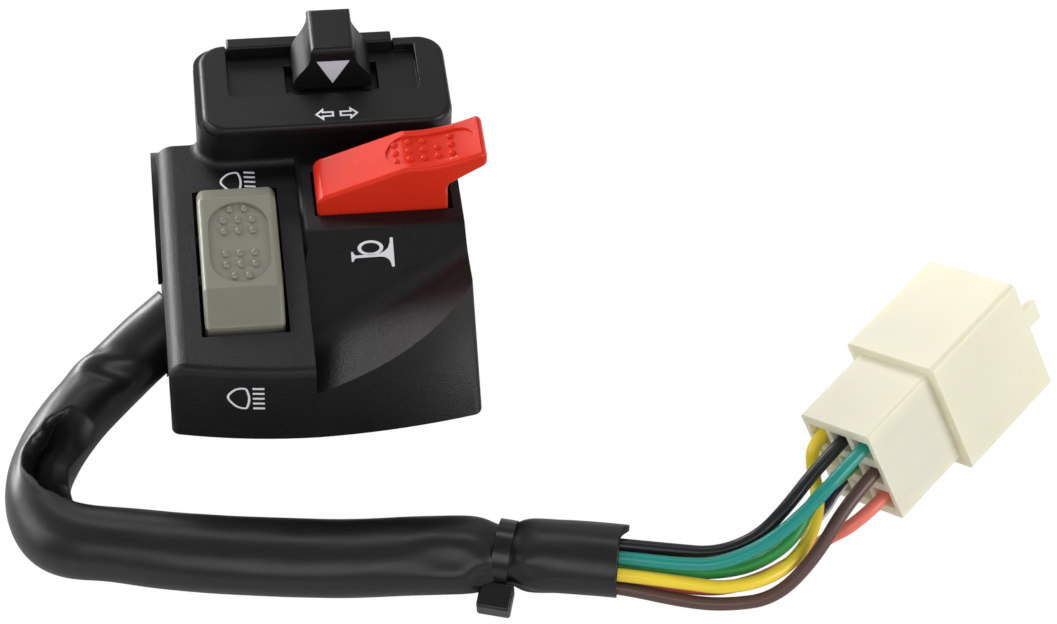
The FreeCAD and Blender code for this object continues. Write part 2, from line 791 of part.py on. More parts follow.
def rear_housing():
    points = [V(x, y, 0.0) for x, y in rear_outline()]
    body = Part.Face(Part.makePolygon(points + [points[0]])).extrude(V(0, 0, -rear_depth))
    low = edges_where(body, lambda p: abs(p.z + rear_depth) < 0.01)
    body = body.makeFillet(rear_round, low)
    x0 = -body_half_width + rear_wall
    x1 = body_half_width - rear_wall
    floor = -rear_depth + rear_wall
    saddle = rod_x(-big / 2, big / 2, 0.0, 0.0, bar_radius + saddle_wall)
    columns = [
        rod_z(-rear_depth, 0.0, clamp_screw_x, clamp_screw_front, clamp_head_radius + 1.6),
        rod_z(-rear_depth, 0.0, clamp_screw_x, clamp_screw_back, clamp_head_radius + 1.6),
    ]
    chamber = box(x0, x1, rear_front_y + rear_wall, 0.0, floor, 1.0).cut(saddle)
    pocket = box(block_left + rear_wall, x1, 0.0, back_y - rear_wall, floor, 1.0).cut(saddle)
    for column in columns:
        chamber = chamber.cut(column)
        pocket = pocket.cut(column)
    body = body.cut(chamber).cut(pocket).cut(rod_x(-big / 2, big / 2, 0.0, 0.0, bar_radius))
    seat = -rear_depth + clamp_head_height + screw_seat_room
    for y in (clamp_screw_front, clamp_screw_back):
        body = body.cut(rod_z(-rear_depth - 1, 1, clamp_screw_x, y, clamp_screw_radius + screw_room))
        body = body.cut(rod_z(-rear_depth - 1, seat, clamp_screw_x, y, clamp_head_radius + screw_room))
    hole = sleeve_diameter / 2 + cable_bore_gap + grommet_thick
    beyond_wall = box(-big, -body_half_width + rear_wall + 2.0, -big, big, -big, big)
    return body.cut(exit_rod(-exit_reach, exit_reach, hole).common(beyond_wall))


def clamp_screws():
    screws = []
    seat = -rear_depth + clamp_head_height + screw_seat_room
    for y in (clamp_screw_front, clamp_screw_back):
        shank = rod_z(seat, clamp_boss_top - 1.5, clamp_screw_x, y, clamp_screw_radius)
        head = rod_z(seat - clamp_head_height, seat, clamp_screw_x, y, clamp_head_radius)
        rim = edges_where(head, lambda p: p.z < seat - clamp_head_height + 0.01)
        head = head.makeFillet(0.8, rim)
        low = seat - clamp_head_height - 1
        for w, d in ((5.0, 1.1), (1.1, 5.0)):
            head = head.cut(box(clamp_screw_x - w / 2, clamp_screw_x + w / 2, y - d / 2, y + d / 2,
                                low, low + 2.6))
        screws.append(shank.fuse(head))
    return Part.makeCompound(screws)


def indicator_plate():
    x0 = block_left + plate_inset
    x1 = body_half_width - 0.3
    y0 = block_front - 0.6
    y1 = back_y - 1.2
    plate = rounded_block(x0, x1, y0, y1, block_top, plate_top, plate_corner)
    plate = plate.makeFillet(0.9, edges_where(plate, lambda p: abs(p.z - plate_top) < 0.01))
    g = slide_gap
    skirt = rounded_block(block_left + wall + g, body_half_width - wall - g, block_front + wall + g,
                          back_y - wall - g, block_top - skirt_depth, block_top, 1.5)
    plate = plate.fuse(skirt)
    recess = rounded_block(recess_left, recess_right, recess_front, recess_back + 6.0, recess_z,
                           plate_top + 1.0, 1.6)
    recess = recess.cut(box(-big, big, recess_back, big, recess_z - 1, plate_top + 2))
    notch = box(recess_left, strip_right + g, recess_back, big, recess_z, plate_top + 1)
    slot = box(knob_x - slot_length / 2, knob_x + slot_length / 2, slot_front, slot_back,
               block_top - skirt_depth - 1, plate_top)
    return plate.cut(recess).cut(notch).cut(slot)


def slide_strip():
    strip = box(recess_left + slide_gap, strip_right, recess_back + slide_gap, back_y - 0.6, recess_z,
                plate_top + strip_rise)
    return strip.makeFillet(0.5, edges_where(strip, lambda p: p.z > recess_z + 0.01))


def indicator_knob():
    """A flared knob: a narrow flat top, hollow flanks and a wide foot."""
    base_z = recess_z + float_gap
    sections = []
    for t, width_share in ((0.0, 1.0), (0.3, 0.9), (0.62, 0.3), (1.0, 0.0)):
        z = base_z + (knob_top_z - knob_top_cap + 0.05 - base_z) * t
        half = (knob_top_width + (knob_base_width - knob_top_width) * width_share) / 2
        y0 = knob_front + (knob_top_front - knob_front) * t
        y1 = knob_back + (knob_top_back - knob_back) * t
        corners = [V(knob_x - half, y0, z), V(knob_x + half, y0, z), V(knob_x + half, y1, z),
                   V(knob_x - half, y1, z)]
        sections.append(Part.makePolygon(corners + [corners[0]]))
    lower = Part.makeLoft(sections, True, False)
    top = box(knob_x - knob_top_width / 2, knob_x + knob_top_width / 2, knob_top_front,
              knob_top_back, knob_top_z - knob_top_cap, knob_top_z)
    top = top.makeFillet(knob_top_round, edges_where(top, lambda p: abs(p.z - knob_top_z) < 0.01))
    knob = lower.fuse(top)
    socket = stem_solid(base_z - 1, base_z + 5.0, pin_gap)
    return knob.cut(socket)


def stem_solid(z0, z1, grow):
    y_mid = (slot_front + slot_back) / 2
    return box(knob_x - stem_width / 2 - grow, knob_x + stem_width / 2 + grow,
               y_mid - stem_depth / 2 - grow, y_mid + stem_depth / 2 + grow, z0, z1)


def indicator_carriage():
    top = block_top - skirt_depth - slide_gap
    body = box(knob_x - carriage_half, knob_x + carriage_half, block_front + wall + 0.3,
               back_y - wall - carriage_back_gap, carriage_low, top)
    body = body.fuse(stem_solid(top - 0.5, recess_z + float_gap + 4.9, 0.0)).removeSplitter()
    return body.cut(rod_y(detent_spring_start(), back_y, knob_x, detent_z,
                          indicator_ball_radius + pin_gap))


def indicator_ball_y():
    """The ball rests in the middle groove of the plate on the chamber's back wall."""
    return back_y - wall - detent_plate_thick - indicator_ball_radius - pin_gap


def detent_spring_start():
    return indicator_ball_y() - indicator_ball_radius - detent_spring_length


def indicator_detent_ball():
    return Part.makeSphere(indicator_ball_radius, V(knob_x, indicator_ball_y(), detent_z))


def indicator_detent_spring():
    start = detent_spring_start() + 0.2
    height = indicator_ball_y() - indicator_ball_radius - pin_gap - start
    spring = coil(detent_spring_radius, detent_spring_wire, height, 6)
    spring.rotate(V(0, 0, 0), V(1, 0, 0), -90)
    spring.translate(V(knob_x, start, detent_z))
    return spring


def indicator_detent_plate():
    front = back_y - wall - detent_plate_thick
    plate = box(knob_x - detent_plate_half, knob_x + detent_plate_half, front, back_y - wall,
                block_floor, block_top - skirt_depth - slide_gap)
    groove = indicator_ball_radius + 0.1
    for x in (knob_x - knob_travel, knob_x, knob_x + knob_travel):
        plate = plate.cut(rod_z(detent_z - 2.2, detent_z + 3, x, front - groove + 0.45, groove))
    return plate


def indicator_contact_board():
    board = box(recess_left - board_margin, recess_right + board_margin, board_front,
                back_y - wall - carriage_back_gap + 0.2, block_floor, block_floor + board_thick)
    for x in rivet_places():
        board = board.cut(rod_z(block_floor - 1, block_floor + 3, x, rivet_y, rivet_radius + pin_gap))
    return board


def rivet_places():
    return [knob_x - rivet_pitch, knob_x, knob_x + rivet_pitch]


def indicator_contacts():
    rivets = []
    top = block_floor + board_thick
    for x in rivet_places():
        shank = rod_z(block_floor + pin_end_gap, top, x, rivet_y, rivet_radius)
        head = rod_z(top, top + rivet_head, x, rivet_y, rivet_head_radius)
        rivets.append(shank.fuse(head))
    return Part.makeCompound(rivets)


def indicator_wiper():
    return box(knob_x - wiper_half, knob_x + wiper_half, rivet_y - 2.4, rivet_y + 2.4,
               carriage_low - contact_thick, carriage_low)


def indicator_lead():
    """A flat lead over the bar's saddle, from the lower housing to the indicator board."""
    low = bar_radius + saddle_wall + slide_gap
    high = low + lead_thick
    points = []
    for r, angles in ((low, range(170, 89, -10)), (high, range(90, 171, 10))):
        for a in angles:
            points.append((r * math.cos(math.radians(a)), r * math.sin(math.radians(a))))
    band = prism_x(points, lead_left, lead_left + lead_width)
    top = box(lead_left, lead_left + lead_width, -0.1, board_front, block_floor, high)
    return band.fuse(top).removeSplitter()


def rocker_contact_base():
    return box(rocker_x - rocker_base_half, rocker_x + rocker_base_half, rocker_y - rocker_base_front,
               rocker_y + rocker_base_back, base_plate_thick, base_plate_thick + rocker_base_height)


def rocker_contacts():
    z0 = base_plate_thick + rocker_base_height
    pads = []
    for y in (rocker_y - 6.2, rocker_y + 0.4):
        pads.append(box(rocker_x - rocker_contact_half, rocker_x + rocker_contact_half, y,
                        y + rocker_contact_length, z0, z0 + contact_thick))
    return Part.makeCompound(pads)


def rocker_moving_contact():
    z1 = rocker_pivot_z - rocker_hub_radius - 1.0
    plate = box(rocker_x - 1.8, rocker_x + 1.8, rocker_y - rocker_plate_half,
                rocker_y + rocker_plate_half, z1 - contact_thick, z1)
    return tilt_rocker(plate)


def cable_inward():
    """Direction of the cable's axis where it enters the housings, up and back from the floor."""
    turn = math.radians(cable_turn)
    dip = math.radians(cable_dip)
    return V(math.cos(turn) * math.cos(dip), math.sin(turn) * math.cos(dip), math.sin(dip))


def exit_rod(start, end, radius):
    """A rod on the cable's axis; start and end are measured inwards from the wall's outside."""
    inward = cable_inward()
    return Part.makeCylinder(radius, end - start, V(*cable_exit) + inward * start, inward)


def exit_point(distance):
    p = V(*cable_exit) + cable_inward() * distance
    return (p.x, p.y, p.z)


def sleeve_route():
    """From the notch between the housings, down to the floor, round a fold and along the front."""
    z = floor_z + sleeve_diameter / 2
    return [
        exit_point(cable_inside), exit_point(-12.3), (-44.0, -38.6, z), (-48.6, -50.6, z),
        (-43.8, -59.7, z), (-32.6, -62.5, z), (-18.5, -65.6, z), (0.0, -68.2, z),
        (16.5, -68.7, z), (34.0, -70.4, z), (44.4, -72.7, z),
    ]


def sleeve_end():
    """The open end's centre and the direction it faces."""
    p, q = [V(*p) for p in sleeve_route()[-2:]]
    return q, (q - p).normalize()


def wire_starts():
    """Where each wire leaves the sleeve's open end: offsets to the back and up."""
    return {
        "black": (1.2, 2.5), "teal": (-1.4, 2.5), "yellow": (-3.6, 1.0), "brown": (-3.4, -2.4),
        "green": (-0.9, -0.3), "red": (-0.7, -3.0), "blue": (1.9, -1.1),
    }


def wire_cells():
    """The connector cell of each wire, as column and row."""
    return {
        "yellow": (-1, -1), "black": (0, -1), "teal": (1, -1), "green": (0, 0), "brown": (1, 0),
        "blue": (-1, 1), "red": (1, 1),
    }


def wire_routes():
    """The free middle of each wire, between the sleeve and the last straight before its cell."""
    return {
        "black": [(52.4, -72.5, -7.2), (59.5, -73.4, -7.9), (66.2, -72.5, -5.8), (71.1, -69.6, -2.4)],
        "teal": [(54.2, -76.1, -6.8), (59.8, -76.8, -6.3), (67.7, -74.7, -4.6), (75.0, -70.5, -1.2)],
        "yellow": [(54.2, -77.6, -9.5), (60.6, -78.8, -10.2), (68.7, -77.0, -10.3),
                   (74.7, -71.9, -9.9), (78.2, -64.8, -8.4), (77.6, -59.3, -5.0)],
        "green": [(54.7, -74.6, -10.6), (60.6, -74.6, -11.2), (66.4, -74.0, -10.6),
                  (72.6, -71.6, -7.9), (76.6, -65.8, -4.8)],
        "brown": [(54.3, -78.4, -13.2), (60.7, -79.6, -13.3), (68.6, -79.4, -12.8), (75.6, -74.9, -8.7)],
        "red": [(54.8, -75.6, -13.3), (61.3, -76.4, -13.35), (69.5, -74.0, -13.3), (78.0, -68.3, -13.0)],
        "blue": [(56.4, -70.6, -12.9), (62.3, -70.4, -13.3), (69.9, -68.5, -13.3),
                 (76.0, -65.2, -13.3), (80.0, -62.0, -12.4)],
    }


def wire_tail(colour):
    """Length of each wire's last straight before its cell; three of them turn in close by."""
    return 2.0 if colour in ("yellow", "green", "blue") else 6.0


def cord_path(points, note):
    """Straight runs joined by tangent arcs, each as large as its two runs allow."""
    points = [V(*p) for p in points]
    edges = []
    radii = []
    start = points[0]
    for before, here, after in zip(points, points[1:], points[2:]):
        a = (before - here)
        b = (after - here)
        shorter = min(a.Length, b.Length)
        a.normalize()
        b.normalize()
        turn = math.pi - a.getAngle(b)
        radius = 0.45 * shorter / math.tan(turn / 2)
        radii.append(round(radius, 1))
        cut = 0.45 * shorter
        first = here + a * cut
        last = here + b * cut
        bend = (a + b).normalize()
        centre = here + bend * (radius / math.cos(turn / 2))
        middle = centre - bend * radius
        edges.append(Part.makeLine(start, first))
        edges.append(Part.Arc(first, middle, last).toShape())
        start = last
    edges.append(Part.makeLine(start, points[-1]))
    path = Part.Wire(edges)
    print(note, "length", round(path.Length, 1), "radii", radii)
    return path


def cord(points, diameter, note):
    path = cord_path(points, note)
    first = V(*points[0])
    along = V(*points[1]) - first
    section = Part.Wire(Part.makeCircle(diameter / 2, first, along))
    tube = path.makePipeShell([section], True, False)
    expected = math.pi * diameter * diameter / 4 * path.Length
    print(note, "volume", round(tube.Volume / expected, 4), "of section times length")
    return tube


def tie_centre():
    """The zip tie's centre, on the run of the sleeve that passes it, and that run's direction."""
    route = [V(*p) for p in sleeve_route()]
    for p, q in zip(route, route[1:]):
        if p.x < tie_x <= q.x:
            along = (q - p).normalize()
            return p + along * ((tie_x - p.x) / along.x), along


def tie_facing():
    """The tie sits a little askew on the sleeve."""
    return FreeCAD.Rotation(V(0, 0, 1), -tie_skew).multVec(tie_centre()[1])


def tie_disc(radius, width):
    centre = tie_centre()[0]
    facing = tie_facing()
    return Part.makeCylinder(radius, width, centre - facing * (width / 2), facing)


def cable_sleeve():
    tube = cord(sleeve_route(), sleeve_diameter, "cable_sleeve")
    radius = sleeve_diameter / 2
    groove = tie_width + 2 * slide_gap
    return tube.cut(tie_disc(radius + 2.0, groove).cut(tie_disc(radius - tie_sink, groove)))


def zip_tie():
    """A band sunk in the sleeve; its head points forward and its cut tail down."""
    centre, along = tie_centre()
    facing = tie_facing()
    inner = sleeve_diameter / 2 - tie_sink + pin_gap
    outer = inner + tie_thick
    wide, tall, deep = tie_head_size
    head = box(-wide / 2, wide / 2, -tall / 2, tall / 2, -0.4, deep)
    head = head.makeFillet(0.5, head.Edges)
    tail = box(-tie_tail_width / 2, tie_tail_width / 2, -tall / 2 - 0.9, 0.0, 0.6, 1.9)
    head = head.fuse(tail)
    head.rotate(V(0, 0, 0), V(1, 0, 0), 90.0 + tie_head_angle)
    head.translate(V(0, -math.cos(math.radians(tie_head_angle)), -math.sin(math.radians(tie_head_angle)))
                   * outer)
    head.rotate(V(0, 0, 0), V(0, 0, 1), math.degrees(math.atan2(facing.y, facing.x)))
    head.translate(centre)
    sleeve = Part.makeCylinder(sleeve_diameter / 2 + pin_gap, 40.0, centre - along * 20.0, along)
    head = head.cut(sleeve.cut(tie_disc(sleeve_diameter, tie_width)))
    return tie_disc(outer, tie_width).fuse(head).cut(tie_disc(inner, 40.0))


def cable_grommet():
    """A thin liner in the notch, cut off just proud of the wall."""
    inner = sleeve_diameter / 2 + cable_bore_gap
    tube = exit_rod(-exit_reach, exit_reach, inner + grommet_thick - press_gap)
    tube = tube.cut(exit_rod(-exit_reach - 1.0, exit_reach + 1.0, inner))
    return tube.common(box(-body_half_width - grommet_proud, -body_half_width + rear_wall,
                           -big, big, -big, big))


def inner_wires():
    """The harness inside the housings, drawn as one lead to each of the two contact blocks."""
    start = V(*exit_point(cable_inside + 0.6))
    lower = V(0.5, 0.3, -1.3)
    p = start - lower
    q = start + lower
    base_x = rocker_x + 0.4
    left = -body_half_width
    routes = [
        [tuple(p), (left + 5.2, -17.6, 1.2), (rocker_x - 3.8, -16.9, 3.3), (base_x - 0.6, -18.2, 3.9),
         (base_x, rocker_y + rocker_base_back + slide_gap, 3.9)],
        [tuple(q), (left + 5.7, -17.4, -1.8), (-14.5, -19.0, -4.6), (-7.5, -23.6, -6.4),
         (0.5, -25.8, -6.6), (horn_lead_x - 5.2, -25.4, -5.6), (horn_lead_x - 0.5, -24.2, -3.0),
         (horn_lead_x, -23.7, 1.6), (horn_lead_x, -23.4, 4.9),
         (horn_lead_x, horn_base_front - pin_end_gap, 4.9)],
    ]
    return Part.makeCompound([cord(r, wire_diameter, "inner wire") for r in routes])


def connector_axes():
    yaw, pitch, roll = [math.radians(v) for v in (conn_yaw, conn_pitch, conn_roll)]
    c = V(math.cos(pitch) * math.cos(yaw), math.cos(pitch) * math.sin(yaw), math.sin(pitch))
    a0 = V(math.sin(yaw), -math.cos(yaw), 0)
    b0 = c.cross(a0)
    a = a0 * math.cos(roll) - b0 * math.sin(roll)
    b = b0 * math.cos(roll) + a0 * math.sin(roll)
    return a, b, c


def in_connector(shape):
    """Move a shape from the connector's own frame, Z out through the hood, into place."""
    a, b, c = connector_axes()
    p = conn_place
    matrix = FreeCAD.Matrix(a.x, b.x, c.x, p[0], a.y, b.y, c.y, p[1], a.z, b.z, c.z, p[2], 0, 0, 0, 1)
    return shape.transformed(matrix, False)


def connector_point(x, y, z):
    a, b, c = connector_axes()
    p = V(*conn_place) + a * x + b * y + c * z
    return (p.x, p.y, p.z)


def connector_housing():
    w, h, n = conn_width / 2, conn_height / 2, conn_length
    rear = rounded_block(-w, w, -h, h, 0.0, n + 0.5, 0.6)
    hw, hh = hood_width / 2, hood_height / 2
    hood = rounded_block(-hw, hw, -hh, hh, n, n + hood_length, 1.0)
    body = rear.fuse(hood)
    t = hood_wall
    body = body.cut(rounded_block(-hw + t, hw - t, -hh + t, hh - t, n + hood_floor,
                                  n + hood_length + 1.0, 0.8))
    s = cell_size / 2
    for i in (-1, 0, 1):
        for j in (-1, 0, 1):
            x, y = i * cell_pitch_a, j * cell_pitch_b
            body = body.cut(box(x - s, x + s, y - s, y + s, -1.0, n + hood_floor + 1.0))
    mouth = n + hood_length
    tongue = box(hw - t, hw, latch_offset - latch_half_width, latch_offset + latch_half_width,
                 mouth - 1.0, mouth + latch_reach)
    return in_connector(body.fuse(tongue))


def connector_terminals():
    pins = []
    for i, j in wire_cells().values():
        x, y = i * cell_pitch_a, j * cell_pitch_b
        crimp = rod_z(terminal_start, crimp_end, x, y, crimp_radius)
        body = box(x - cell_size / 2, x + cell_size / 2, y - terminal_half_height,
                   y + terminal_half_height, crimp_end, conn_length)
        blade = box(x - blade_half_width, x + blade_half_width, y - blade_half_thick,
                    y + blade_half_thick, conn_length, conn_length + blade_length)
        pins.append(in_connector(crimp.multiFuse([body, blade])))
    return Part.makeCompound(pins)


def wire(colour):
    back, up = wire_starts()[colour]
    end, along = sleeve_end()
    start = end + along * wire_gap + V(-along.y, along.x, 0) * back + V(0, 0, up)
    i, j = wire_cells()[colour]
    x, y = i * cell_pitch_a, j * cell_pitch_b
    points = [tuple(start)] + wire_routes()[colour]
    points += [connector_point(x, y, -wire_tail(colour)), connector_point(x, y, terminal_start)]
    return cord(points, wire_diameter, "wire_" + colour)


NODES = {
    "front_housing": front_housing,
    "rear_housing": rear_housing,
    "clamp_screws": clamp_screws,
    "base_plate": base_plate,
    "base_plate_screws": base_plate_screws,
    "indicator_plate": indicator_plate,
    "indicator_slide_strip": slide_strip,
    "indicator_knob": indicator_knob,
    "indicator_carriage": indicator_carriage,
    "indicator_detent_ball": indicator_detent_ball,
    "indicator_detent_spring": indicator_detent_spring,
    "indicator_detent_plate": indicator_detent_plate,
    "indicator_contact_board": indicator_contact_board,
    "indicator_contacts": indicator_contacts,
    "indicator_wiper": indicator_wiper,
    "indicator_lead": indicator_lead,
    "beam_rocker": beam_rocker,
    "rocker_pivot_pin": rocker_pin,
    "rocker_detent_ball": rocker_detent_ball,
    "rocker_detent_spring": rocker_detent_spring,
    "rocker_contact_base": rocker_contact_base,
    "rocker_contacts": rocker_contacts,
    "rocker_moving_contact": rocker_moving_contact,
    "horn_lever": horn_lever,
    "horn_pivot_pin": horn_pin,
    "horn_return_spring": horn_spring,
    "horn_contact_base": horn_contact_base,
    "horn_contact_leaf": horn_contact_leaf,
    "horn_contact_pin": horn_contact_pin,
    "cable_grommet": cable_grommet,
    "inner_wires": inner_wires,
    "cable_sleeve": cable_sleeve,
    "zip_tie": zip_tie,
    "connector_housing": connector_housing,
    "connector_terminals": connector_terminals,
}


def main():
    os.makedirs("parts", exist_ok=True)
    for name, make in NODES.items():
        report(name, make())
    for colour in wire_starts():
        report("wire_" + colour, wire(colour))


def report(name, shape):
    shape.exportStep("parts/" + name + ".step")
    print(name, "solids", len(shape.Solids), "volume", round(shape.Volume, 1), "valid", shape.isValid())


main()
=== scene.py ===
"""Looks of the left-hand handlebar switch: moulded housings, grip dots, printed symbols and the harness.

Lengths in this file are millimetres until MM turns them into metres. X runs along the bar to the
rider's right, Y away from the rider's thumb and Z out of the switch face.
"""
import json
import math
from collections import namedtuple

import bmesh
import bpy
from mathutils import Matrix, Vector, noise
from mathutils.bvhtree import BVHTree
from mathutils.geometry import tessellate_polygon


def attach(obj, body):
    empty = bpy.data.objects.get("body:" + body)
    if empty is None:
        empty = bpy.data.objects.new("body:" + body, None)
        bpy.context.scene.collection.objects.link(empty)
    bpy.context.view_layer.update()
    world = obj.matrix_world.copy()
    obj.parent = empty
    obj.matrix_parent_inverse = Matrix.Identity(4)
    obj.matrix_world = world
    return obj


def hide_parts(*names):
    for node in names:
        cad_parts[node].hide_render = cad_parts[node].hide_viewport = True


MM = 0.001

# The camera that took the photograph: its place, and the degrees that it looks down, right and leans
PHOTO_WIDTH_PX = 1057.0
FOCAL_PX = 3001.424
SENSOR_MM = 36.0
EYE = (-23.066, -372.365, 358.41)
LOOK_DOWN = 45.497
LOOK_YAW = 9.534
LOOK_ROLL = -3.247

# Sizes shared with the solids
FLOOR_Z = -14.5
PLATE_Z = 24.0
PLATEAU_Z = 15.5
FRONT_WALL_Y = -49.4
# Y and Z of the edge where the scoop starts, and its slope in degrees
RIM = (-20.4, 17.5)
SCOOP_SLOPE = 32.0
KNOB_X = 5.35
ROCKER_PIVOT = (-12.4, -24.4, 11.0)
ROCKER_TILT = 6.0
ROCKER_PAD_Y = -23.4
ROCKER_PAD_Z = 19.7
ROCKER_DOT_PITCH = 2.32
# Radius and height
ROCKER_DOT = (0.54, 0.36)
HORN_FRONT = -16.7
HORN_MIDDLE = -11.8
HORN_BACK = -6.9
SLEEVE_RADIUS = 5.65
TIE_X = 26.1
WIRE_RADIUS = 1.1

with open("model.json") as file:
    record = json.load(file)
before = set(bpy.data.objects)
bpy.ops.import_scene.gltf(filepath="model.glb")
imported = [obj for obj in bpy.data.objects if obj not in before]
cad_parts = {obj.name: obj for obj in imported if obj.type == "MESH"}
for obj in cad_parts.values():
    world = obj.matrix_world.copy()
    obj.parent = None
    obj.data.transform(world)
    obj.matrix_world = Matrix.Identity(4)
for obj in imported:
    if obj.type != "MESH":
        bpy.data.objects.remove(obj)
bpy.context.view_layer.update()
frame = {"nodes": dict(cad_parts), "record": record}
NODES = frame["nodes"]


def metres(x, y, z):
    return Vector((x, y, z)) * MM


def from_0_to_1(value):
    return min(1.0, max(0.0, value))


def body_of(node):
    return next(b for b, names in frame["record"]["behaviour"]["bodies"].items() if node in names)


def slot_of(node):
    return next(s["material_slot"] for s in frame["record"]["subparts"] if s["node"] == node)


# Materials

class Finish:
    """A node-based finish around one Principled shader."""

    def __init__(self, name, color, roughness, **sockets):
        self.material = bpy.data.materials.new(name)
        self.material.use_nodes = True
        self.tree = self.material.node_tree
        self.shader = self.tree.nodes["Principled BSDF"]
        self.color = (*color, 1.0)
        self.shader.inputs["Base Color"].default_value = self.color
        self.shader.inputs["Roughness"].default_value = roughness
        for socket, value in sockets.items():
            self.shader.inputs[socket.replace("_", " ")].default_value = value
        self.place = self.tree.nodes.new("ShaderNodeTexCoord").outputs["Object"]
        self.height = None

    def node(self, kind, **settings):
        made = self.tree.nodes.new(kind)
        for key, value in settings.items():
            setattr(made, key, value)
        return made

    def link(self, a, b):
        self.tree.links.new(a, b)

    def noise(self, size_mm, detail=2.0, stretch=None):
        """Noise whose features are about size_mm across."""
        texture = self.node("ShaderNodeTexNoise")
        texture.inputs["Scale"].default_value = 1.0 / (size_mm * MM)
        texture.inputs["Detail"].default_value = detail
        place = self.place
        if stretch:
            mapping = self.node("ShaderNodeMapping")
            mapping.inputs["Scale"].default_value = stretch
            self.link(place, mapping.inputs["Vector"])
            place = mapping.outputs["Vector"]
        self.link(place, texture.inputs["Vector"])
        return texture.outputs["Fac"]

    def span(self, value, low, high):
        """The value from 0 to 1 spread from low to high."""
        spread = self.node("ShaderNodeMapRange")
        spread.inputs["To Min"].default_value = low
        spread.inputs["To Max"].default_value = high
        self.link(value, spread.inputs["Value"])
        return spread.outputs["Result"]

    def bump(self, height, depth_mm, strength=1.0):
        """Adds a layer of relief; layers stack."""
        bump = self.node("ShaderNodeBump")
        bump.inputs["Distance"].default_value = depth_mm * MM
        bump.inputs["Strength"].default_value = strength
        self.link(height, bump.inputs["Height"])
        if self.height:
            self.link(self.height, bump.inputs["Normal"])
        self.height = bump.outputs["Normal"]
        self.link(self.height, self.shader.inputs["Normal"])

    def vary_color(self, factor, other):
        mix = self.node("ShaderNodeMix", data_type="RGBA")
        factor_in, color_a, color_b = mix.inputs[0], mix.inputs[6], mix.inputs[7]
        mixed = mix.outputs[2]
        color_a.default_value = self.color
        color_b.default_value = (*other, 1.0)
        self.link(factor, factor_in)
        self.link(mixed, self.shader.inputs["Base Color"])

    def vary_roughness(self, factor, low, high):
        self.link(self.span(factor, low, high), self.shader.inputs["Roughness"])


def moulded_grain(name, color, roughness, grain_mm, depth_mm):
    finish = Finish(name, color, roughness, Specular_IOR_Level=0.34)
    grain = finish.noise(grain_mm, detail=3.0)
    unevenness = finish.noise(size_mm=9.0, detail=1.0)
    finish.bump(grain, depth_mm)
    finish.bump(unevenness, depth_mm=0.03, strength=0.4)
    finish.vary_color(finish.noise(size_mm=3.0), other=[c * 1.4 for c in color])
    finish.vary_roughness(grain, low=roughness - 0.06, high=roughness + 0.08)
    return finish.material


def smooth_moulding(name, color, roughness, **sockets):
    finish = Finish(name, color, roughness, **sockets)
    finish.bump(finish.noise(size_mm=0.5), depth_mm=0.006, strength=0.5)
    finish.bump(finish.noise(size_mm=7.0, detail=1.0), depth_mm=0.04, strength=0.5)
    finish.vary_color(finish.noise(size_mm=5.0), other=[c * 0.9 for c in color])
    finish.vary_roughness(finish.noise(size_mm=2.0), low=roughness - 0.05, high=roughness + 0.05)
    return finish.material


def pvc_sleeving(name):
    """Soft PVC with painted shade in the fold: it mirrors less the deeper it lies in the fold."""
    finish = Finish(name, (0.005, 0.005, 0.0055), roughness=0.34)
    depth = finish.node("ShaderNodeAttribute", attribute_name="painted_fold_shade")
    # Painted shade: reflections dimmed inside the fold, where shade falls
    shine_with_painted_fold_shade = finish.span(depth.outputs["Fac"], low=0.5, high=0.02)
    finish.link(shine_with_painted_fold_shade, finish.shader.inputs["Specular IOR Level"])
    finish.bump(finish.noise(size_mm=3.2, detail=3.0), depth_mm=0.06, strength=0.5)
    finish.bump(finish.noise(size_mm=0.35), depth_mm=0.008, strength=0.5)
    finish.vary_roughness(finish.noise(size_mm=4.0), low=0.30, high=0.42)
    finish.vary_color(finish.noise(size_mm=6.0), other=(0.009, 0.009, 0.010))
    return finish.material


def translucent_nylon(name):
    finish = Finish(name, (0.85, 0.81, 0.64), 0.38, Subsurface_Weight=0.55, Subsurface_Scale=0.004)
    finish.shader.inputs["Subsurface Radius"].default_value = (1.0, 0.9, 0.6)
    finish.bump(finish.noise(size_mm=6.0, detail=1.0), depth_mm=0.05, strength=0.5)
    finish.bump(finish.noise(size_mm=0.5), depth_mm=0.006, strength=0.4)
    finish.vary_color(finish.noise(size_mm=12.0, detail=1.0), other=(0.81, 0.77, 0.59))
    return finish.material


def plated_metal(name, color, roughness):
    finish = Finish(name, color, roughness, Metallic=1.0)
    brushed = finish.noise(size_mm=0.3, stretch=(1.0, 6.0, 1.0))
    finish.bump(brushed, depth_mm=0.004, strength=0.5)
    finish.vary_roughness(brushed, low=roughness - 0.08, high=roughness + 0.08)
    return finish.material


def striped_insulation(name, color, stripe):
    """Insulation with a straight stripe, placed by the wire's own UV map round its girth."""
    stripe_from, stripe_to = 0.42, 0.58
    off, on = (0, 0, 0, 1), (1, 1, 1, 1)
    finish = Finish(name, color, roughness=0.3)
    uv = finish.node("ShaderNodeUVMap", uv_map="along")
    parts = finish.node("ShaderNodeSeparateXYZ")
    finish.link(uv.outputs["UV"], parts.inputs["Vector"])
    ramp = finish.node("ShaderNodeValToRGB")
    ramp.color_ramp.interpolation = "CONSTANT"
    ramp.color_ramp.elements[0].color = off
    ramp.color_ramp.elements[1].position = stripe_from
    ramp.color_ramp.elements[1].color = on
    ramp.color_ramp.elements.new(stripe_to).color = off
    finish.link(parts.outputs["X"], ramp.inputs["Fac"])
    finish.vary_color(ramp.outputs["Color"], stripe)
    finish.bump(finish.noise(size_mm=1.5), depth_mm=0.01, strength=0.5)
    return finish.material


